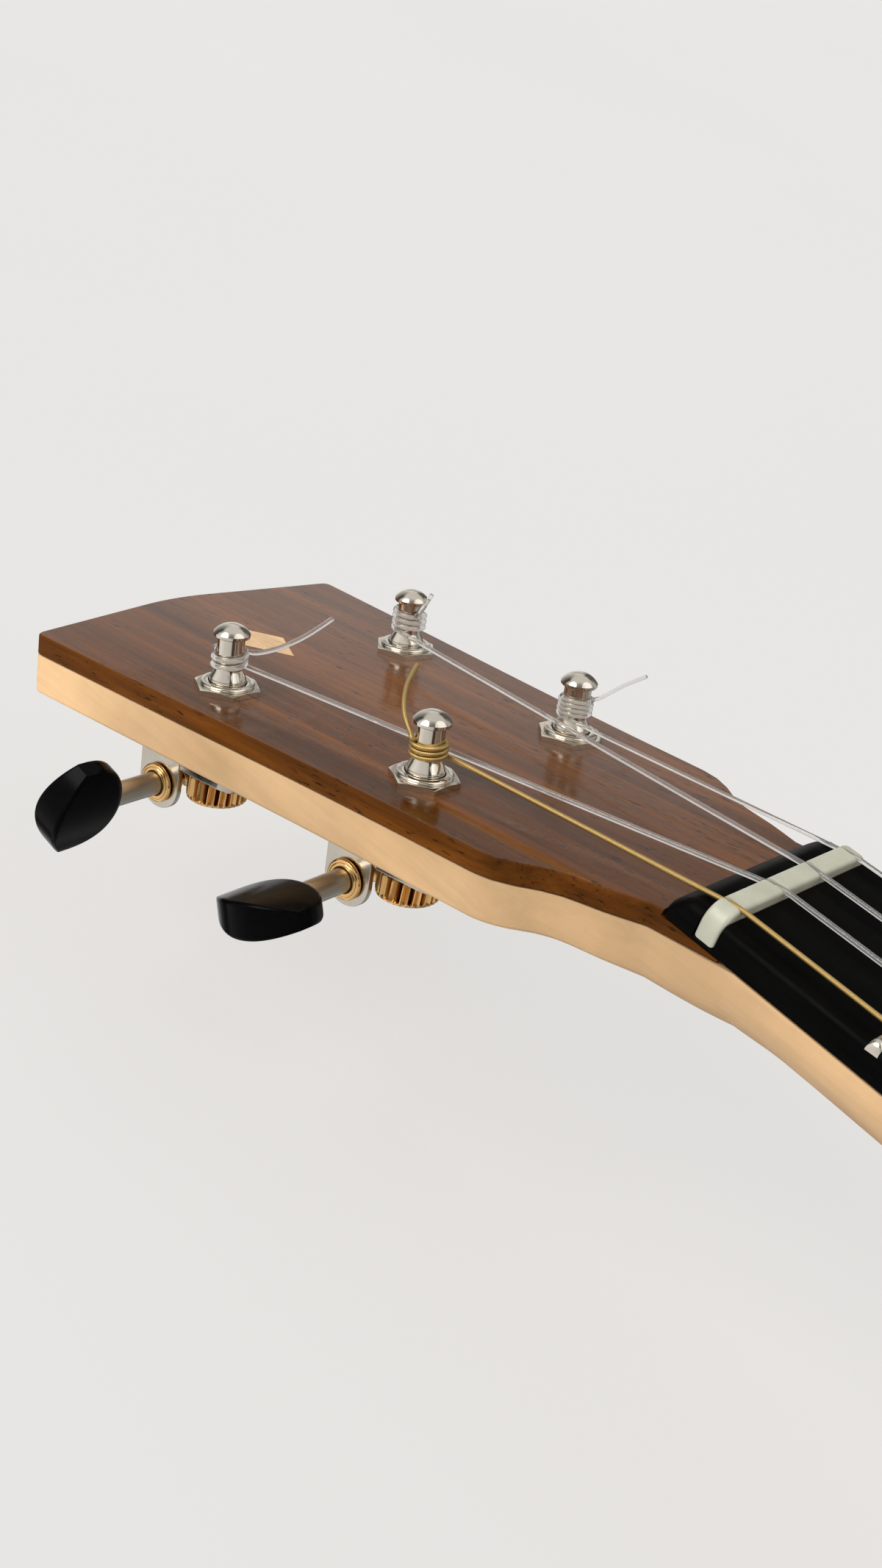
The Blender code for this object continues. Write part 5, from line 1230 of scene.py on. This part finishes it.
class UKULELE_OT_nut(Operator):
    """Bone nut, well rounded at its ends, with four string slots"""

    bl_idname = "ukulele.nut"
    bl_label = "Nut"

    def execute(self, context):
        half = NUT_HALF_WIDTH - 0.1
        shape = block((-half, NUT_FRONT, BOARD_BOTTOM + 0.6), (half, NUT_BACK, NUT_TOP))
        ends = [e for e in shape.edges if all(v.co.z > NUT_TOP - 0.1 for v in e.verts)
                and e.verts[0].co.x == e.verts[1].co.x]
        soften(shape, ends, 3.2, 9)
        soften(shape, rims(shape, 1), 0.6, 4)
        nut = piece("nut_bone", shape, "body", "bone", ("nut",), None, 40)
        slots = []
        for key in KEYS:
            wide = THICKNESS[key] / 2 + 0.06
            section = [Vector((-wide, 0, 2))] + [Vector((-wide * math.cos(a), 0, -wide * math.sin(a)))
                                                 for a in [math.pi * k / 10 for k in range(11)]]
            section.append(Vector((wide, 0, 2)))
            bottom = nut_crossing(key)
            start = post_frame(key) @ winding_path(key)[1]
            behind = bottom + (start - bottom).normalized() * 5
            rings = [[place + p for p in section] for place in (bottom - Vector((0, 2, 0)), bottom, behind)]
            slots.append((loft(rings), Matrix.Identity(4)))
        carve(nut, slots, "DIFFERENCE", 40)
        return {"FINISHED"}


class UKULELE_OT_posts(Operator):
    """String posts: dome, rim, straight core, flared foot with a groove, and the part below"""

    bl_idname = "ukulele.posts"
    bl_label = "String posts"

    def execute(self, context):
        dome = [(3.55 * math.sin(a), 7.48 + 3.55 * math.cos(a)) for a in [0.955 * k / 9 for k in range(10)]]
        dome[0] = (0.0, dome[0][1])
        profile = dome + [(2.9, 9.47), (2.88, 9.06), (2.8, 8.98), (2.42, 8.78), (POST_CORE, 8.74),
                          (POST_CORE, 3.75), (2.22, 3.5), (2.42, 3.1), (2.62, 2.7), (2.78, 2.35), (2.88, 2.1),
                          (2.83, 2.05), (2.83, 1.98), (2.9, 1.93), (2.96, 1.7), (2.94, 1.48), (2.6, 1.42),
                          (2.6, -14.0), (1.5, -14.0), (1.5, -18.3), (0.0, -18.3)]
        for key in KEYS:
            place = post_frame(key)
            post = piece(f"post_{key}_metal", lathe(profile, 56), f"post_{key}", "nickel",
                         ("string_post_" + key,), place, 35)
            angle, height = WRAPS[key]["hole"]
            carve(post, [(rod(0.6, -4, 4, 24), place @ moved(0, 0, height) @ spun("Z", angle)
                          @ spun("Y", 90))], "DIFFERENCE", 35)
        return {"FINISHED"}


class UKULELE_OT_post_nuts(Operator):
    """Chamfered hexagon nuts, with ring washers over them and dark sleeves of painted shade in the headstock's
    bores
    """

    bl_idname = "ukulele.post_nuts"
    bl_label = "Post nuts"

    def execute(self, context):
        corner = 5.5
        for key in KEYS:
            place = post_frame(key)
            turned = place @ spun("Z", 30 if key in "gc" else 15)
            nut = piece(f"post_nut_{key}_hex", rod(corner, 0.02, 1.0, 6), "body", "nickel",
                        ("post_nut_" + key,), turned, 25)
            cone = lathe([(0, -1), (corner + 0.4, -1), (corner + 0.4, 0.62), (4.6, 1.04), (0, 1.04)], 72)
            carve(nut, [(cone, turned)], "INTERSECT", 25)
            carve(nut, [(rod(3.3, -2, 3, 48), turned)], "DIFFERENCE", 25)
            washer = lathe([(3.08, 0.9), (4.15, 0.9), (4.3, 1.1), (4.3, 1.3), (4.12, 1.52), (3.6, 1.6),
                            (3.08, 1.56)], 64, 0.1)
            piece(f"post_washer_{key}", washer, "body", "nickel", (), place, 35)
            # A dark sleeve of painted shade fills the bore round the post, and shows in the gap inside the washer.
            sleeve = lathe([(2.72, -6.0), (3.8, -6.0), (3.8, -0.02), (3.25, 0.02), (3.25, 0.85),
                            (2.72, 0.85)], 40)
            piece(f"post_bore_shade_{key}", sleeve, "body", "shadow_black", (), place, 35)
        return {"FINISHED"}


class UKULELE_OT_plates(Operator):
    """Tuner plates with their two ears, and the screws that hold them"""

    bl_idname = "ukulele.plates"
    bl_label = "Tuner plates"

    def execute(self, context):
        for key in KEYS:
            place = tuner_frame(key)
            side = outboard(key)
            tip = WORM_OFFSET + 5.4
            outline = [(EAR, tip), (EAR, 1.0), (9.0, 0.2), (9.0, -12.0), (-6.5, -12.0), (-6.5, tip)]
            shape = prism([(x, side * y) for x, y in outline], PLATE_BOTTOM, PLATE_TOP)
            for x, y, radius in ((9.0, -12.0, 3.5), (-6.5, -12.0, 3.5), (9.0, 0.2, 0.8), (-6.5, tip, 1.0)):
                spot = Vector((x, side * y))
                upright = [e for e in shape.edges if all((v.co.xy - spot).length < 1e-3 for v in e.verts)]
                soften(shape, upright, radius, 5)
            soften(shape, rims(shape), 0.15, 2)
            plate = piece(f"tuner_plate_{key}_metal", shape, "body", "plate_nickel",
                          ("tuner_plate_" + key,), place)
            axis = place @ moved(0, side * WORM_OFFSET, WORM_LEVEL)
            upright = Matrix(((0, 0, 1), (1, 0, 0), (0, 1, 0))).to_4x4()
            ears = []
            for radius, low, high in ((4.35, EAR - 1.0, EAR - 0.02), (2.6, INNER_EAR, INNER_EAR + 0.98)):
                ear = block((-radius, -radius, low), (radius, PLATE_BOTTOM + 0.44 - WORM_LEVEL, high))
                feet = [e for e in ear.edges if all(v.co.y < 0 for v in e.verts)
                        and abs(e.verts[0].co.z - e.verts[1].co.z) > 0.1]
                soften(ear, feet, radius * 0.99, 14)
                soften(ear, [e for e in rims(ear) if e.calc_face_angle(0.0) > 1.0], 0.12, 2)
                ears.append((ear, axis @ upright))
            carve(plate, ears, "UNION")
            along = axis @ spun("Y", 90)
            carve(plate, [(rod(2.6, EAR - 3, EAR + 3), along), (rod(1.0, -9, -4, 24), along),
                          (rod(2.7, -20, 0), place)])
            for number, (x, y) in enumerate(((6.0, -9.0), (-3.4, -9.0))):
                head = lathe([(0, 0), (1.0, 0), (1.9, 0.35), (2.0, 0.9), (0, 0.9)], 32, 0.15)
                spot = place @ moved(x, side * y, PLATE_BOTTOM - 0.85)
                screw = piece(f"plate_screw_{number}_{key}", head, "body", "plate_nickel", (), spot)
                slots = [(block((-1.1, -0.16, -1), (1.1, 0.16, 0.35)), spot @ spun("Z", turn))
                         for turn in (17, 107)]
                carve(screw, slots)
        return {"FINISHED"}


class UKULELE_OT_collars(Operator):
    """Gilt collars in the outer ears, each with a dark ring of painted shade in the gap round its shaft"""

    bl_idname = "ukulele.collars"
    bl_label = "Collars"

    def execute(self, context):
        e = EAR
        profile = [(2.05, e - 1.6), (2.55, e - 1.6), (2.55, e + 0.25), (3.2, e + 0.25), (3.25, e + 0.5),
                   (3.14, e + 0.8), (2.92, e + 0.92), (2.74, e + 0.94), (2.69, e + 0.86), (2.64, e + 0.96),
                   (2.4, e + 1.05), (2.16, e + 1.02), (2.05, e + 0.9)]
        for key in KEYS:
            along = shaft_frame(key) @ spun("Y", 90)
            piece(f"collar_{key}", lathe(profile, 56, 0.08, 2), "body", "gilt", (), along, 35)
            # A dark ring of painted shade fills the gap between the collar and the shaft.
            gap = lathe([(SHAFT + 0.02, e + 0.1), (2.06, e + 0.1), (2.06, e + 0.88), (SHAFT + 0.02, e + 0.88)], 48)
            piece(f"collar_gap_shade_{key}", gap, "body", "shadow_black", (), along, 35)
        return {"FINISHED"}


class UKULELE_OT_gears(Operator):
    """Worm wheels with leaning teeth, dished below, and their slotted screws"""

    bl_idname = "ukulele.gears"
    bl_label = "Worm wheels"

    def execute(self, context):
        outer, root = GEAR_RADIUS + TOOTH_TOP, GEAR_RADIUS - TOOTH_ROOT
        step = 2 * math.pi / GEAR_TEETH
        lean = math.tan(THREAD_LEAN) * GEAR_FACE / 2 / GEAR_RADIUS * 0.4
        flank = ((-0.5, 0.0), (-0.45, 0.15), (-0.38, 0.6), (-0.31, 0.9), (-0.24, 0.97), (-0.16, 0.8),
                 (0.0, 0.55), (0.16, 0.8), (0.24, 0.97), (0.31, 0.9), (0.38, 0.6), (0.45, 0.15))
        low = GEAR_TOP - GEAR_FACE
        for key in KEYS:
            to_worm = math.pi / 2 + (TUNER_TURN if outboard(key) < 0 else -TUNER_TURN)
            start = to_worm + math.pi / GEAR_TEETH
            rings = []
            for level, sink, fill in ((0.0, 0.35, 0.0), (0.04, 0.05, 0.0), (0.1, 0.0, 0.0), (0.5, 0.0, 0.0),
                                      (0.84, 0.0, 0.0), (0.885, 0.02, 0.9), (0.95, 0.05, 0.95),
                                      (0.985, 0.16, 0.9), (1.0, 0.4, 0.9)):
                ring = []
                for tooth in range(GEAR_TEETH):
                    for share, height in flank:
                        angle = start + (tooth + share) * step + lean * (1 - 2 * level)
                        radius = root + (outer - root) * max(height, fill) - sink
                        ring.append(Vector((radius * math.cos(angle), radius * math.sin(angle),
                                            GEAR_TOP - GEAR_FACE * level)))
                rings.append(ring)
            shape = loft(rings)
            depth = shape.verts.layers.float.new("depth")
            for vert in shape.verts:
                vert[depth] = (vert.co.xy.length - root) / (outer - root)
            place = post_frame(key)
            gear = piece(f"gear_{key}_bronze", shape, f"post_{key}", "gear_gilt",
                         ("worm_gear_" + key,), place, 35)
            dish = lathe([(0, low - 1), (2.9, low - 1), (2.7, low + 0.7), (0, low + 0.7)], 40, 0.15)
            carve(gear, [(rod(1.55, -25, 0, 32), place), (dish, place)], "DIFFERENCE", 35)
            head = lathe([(0, low - 0.28), (1.6, low - 0.24), (2.2, low + 0.15), (2.2, low + 0.68),
                          (0, low + 0.68)], 36, 0.15)
            screw = piece(f"gear_screw_{key}", head, f"post_{key}", "plate_nickel", (), place)
            carve(screw, [(block((-3, -0.22, low - 1), (3, 0.22, low + 0.15)), place @ spun("Z", 40))])
        return {"FINISHED"}


def thread_radius(x, angle, facing):
    """Radius of the worm's single round thread."""
    root, outer = WORM_RADIUS - TOOTH_ROOT, WORM_RADIUS + TOOTH_TOP
    phase = x / AXIAL_PITCH - (angle - facing) / (2 * math.pi)
    away = abs((phase + 0.5) % 1.0 - 0.5) * 2
    fade = ease((2 * AXIAL_PITCH - abs(x)) / (0.35 * AXIAL_PITCH))
    return root + (outer - root) * (1 - ease((away - 0.12) / 0.56)) * fade


class UKULELE_OT_shafts(Operator):
    """Worms with a rounded thread, and the thick satin shafts that carry the buttons"""

    bl_idname = "ukulele.shafts"
    bl_label = "Worm shafts"

    def execute(self, context):
        root = WORM_RADIUS - TOOTH_ROOT
        reach = 2 * AXIAL_PITCH
        angles = [2 * math.pi * j / 32 for j in range(32)]
        for key in KEYS:
            facing = 0.0 if outboard(key) < 0 else math.pi
            stations = [(x, None) for x in [-reach + 2 * reach * i / 96 for i in range(97)]]
            stations = [(-6.5, 0.8), (-6.4, 0.9), (-5.2, 0.9), (-5.15, root)] + stations
            stations += [(5.6, root), (5.75, 1.3), (5.88, 1.8)]
            rings = []
            for x, radius in stations:
                sizes = [radius or thread_radius(x, a, facing) for a in angles]
                rings.append([Vector((x, r * math.cos(a), r * math.sin(a))) for r, a in zip(sizes, angles)])
            shape = loft(rings)
            depth = shape.verts.layers.float.new("depth")
            for vert in shape.verts:
                vert[depth] = (vert.co.yz.length - root) / (TOOTH_TOP + TOOTH_ROOT) + 0.2
            place = shaft_frame(key)
            piece(f"worm_{key}", shape, f"button_{key}", "gear_gilt", ("worm_shaft_" + key,),
                  place, 40)
            profile = [(0, 5.9), (SHAFT, 5.9), (SHAFT, BUTTON_START - 0.25), (1.5, BUTTON_START - 0.1),
                       (1.5, BUTTON_START + 7), (0, BUTTON_START + 7)]
            piece(f"shaft_{key}", lathe(profile, 48, 0.15), f"button_{key}", "satin_nickel", (),
                  place @ spun("Y", 90))
        return {"FINISHED"}


class UKULELE_OT_buttons(Operator):
    """Half-moon buttons, round towards the shaft, with soft rims"""

    bl_idname = "ukulele.buttons"
    bl_label = "Buttons"

    def execute(self, context):
        corner, far, half_width = BUTTON_START + 8.75, BUTTON_START + 12.8, 8.2
        quarter = [math.pi / 2 * k / 5 for k in range(6)]
        for key in KEYS:
            rings = []
            for i in range(49):
                across = -math.cos(math.pi * i / 48) * 0.993
                bow = 1 - across ** 2
                start = corner - (corner - BUTTON_START) * bow ** 0.3
                end = corner + (far - corner) * bow
                half = (2.7 + 3.1 * bow) / 2
                inner = min(0.24 * (end - start), 0.55 * half)
                outer = inner * 0.45
                top = [(start + inner * (1 - math.cos(a)), half - inner * (1 - math.sin(a))) for a in quarter]
                top += [(end - outer * (1 - math.sin(a)), half - outer * (1 - math.cos(a))) for a in quarter]
                ring = [Vector((x, half_width * across, z)) for x, z in top]
                rings.append(ring + [Vector((p.x, p.y, -p.z)) for p in reversed(ring)])
            piece(f"button_{key}_black", loft(rings), f"button_{key}", "button_black",
                  ("tuner_button_" + key,), shaft_frame(key) @ spun("X", BUTTON_TURN[key]), 42)
        return {"FINISHED"}


class UKULELE_OT_windings(Operator):
    """Turns of each string on its post, with the loose end"""

    bl_idname = "ukulele.windings"
    bl_label = "String windings"

    def execute(self, context):
        for key in KEYS:
            path, foot = winding_path(key)
            wound = key == "g"
            piece(f"winding_{key}", tube(path, THICKNESS[key], 16), f"post_{key}",
                  "wound_string" if wound else "clear_string",
                  ("string_winding_" + key,), post_frame(key), 60, False)
        return {"FINISHED"}


class UKULELE_OT_strings(Operator):
    """Strings from post to nut, saddle and the knot on the bridge"""

    bl_idname = "ukulele.strings"
    bl_label = "Strings"

    def execute(self, context):
        for key in KEYS:
            path, foot = winding_path(key)
            wound = key == "g"
            piece(f"string_{key}_span", tube(string_path(key, foot), THICKNESS[key], 16), "body",
                  "wound_string" if wound else "clear_string",
                  ("string_" + key,), None, 60, False)
        return {"FINISHED"}


STEPS = (UKULELE_OT_finishes, UKULELE_OT_stage, UKULELE_OT_soundboard, UKULELE_OT_rosette, UKULELE_OT_back,
         UKULELE_OT_ribs, UKULELE_OT_inside, UKULELE_OT_bridge, UKULELE_OT_neck, UKULELE_OT_faceplate,
         UKULELE_OT_fretboard, UKULELE_OT_frets, UKULELE_OT_nut, UKULELE_OT_posts, UKULELE_OT_post_nuts,
         UKULELE_OT_plates, UKULELE_OT_collars, UKULELE_OT_gears, UKULELE_OT_shafts, UKULELE_OT_buttons,
         UKULELE_OT_windings, UKULELE_OT_strings)
SETTINGS = {"ukulele_woods": UkuleleWoods, "ukulele_metals": UkuleleMetals, "ukulele_shapes": UkuleleShapes,
            "ukulele_studio": UkuleleStudio}


class UKULELE_PT_panel(Panel):
    """Sizes, colours and steps of the ukulele"""

    bl_label = "Ukulele"
    bl_space_type = "VIEW_3D"
    bl_region_type = "UI"
    bl_category = "Ukulele"

    def draw(self, context):
        for name, kind in SETTINGS.items():
            box = self.layout.box()
            for prop in kind.__annotations__:
                box.prop(getattr(context.scene, name), prop)
        for step in STEPS:
            self.layout.operator(step.bl_idname)


def register():
    for kind in (*SETTINGS.values(), *STEPS, UKULELE_PT_panel):
        bpy.utils.register_class(kind)
    for name, kind in SETTINGS.items():
        setattr(bpy.types.Scene, name, PointerProperty(type=kind))


def unregister():
    for name in SETTINGS:
        delattr(bpy.types.Scene, name)
    for kind in reversed((*SETTINGS.values(), *STEPS, UKULELE_PT_panel)):
        bpy.utils.unregister_class(kind)


def main():
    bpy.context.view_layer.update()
    register()
    bpy.ops.ukulele.finishes()
    bpy.ops.ukulele.stage()
    bpy.ops.ukulele.soundboard()
    bpy.ops.ukulele.rosette()
    bpy.ops.ukulele.back()
    bpy.ops.ukulele.ribs()
    bpy.ops.ukulele.inside()
    bpy.ops.ukulele.bridge()
    bpy.ops.ukulele.neck()
    bpy.ops.ukulele.faceplate()
    bpy.ops.ukulele.fretboard()
    bpy.ops.ukulele.frets()
    bpy.ops.ukulele.nut()
    bpy.ops.ukulele.posts()
    bpy.ops.ukulele.post_nuts()
    bpy.ops.ukulele.plates()
    bpy.ops.ukulele.collars()
    bpy.ops.ukulele.gears()
    bpy.ops.ukulele.shafts()
    bpy.ops.ukulele.buttons()
    bpy.ops.ukulele.windings()
    bpy.ops.ukulele.strings()


if __name__ == "__main__":
    main()
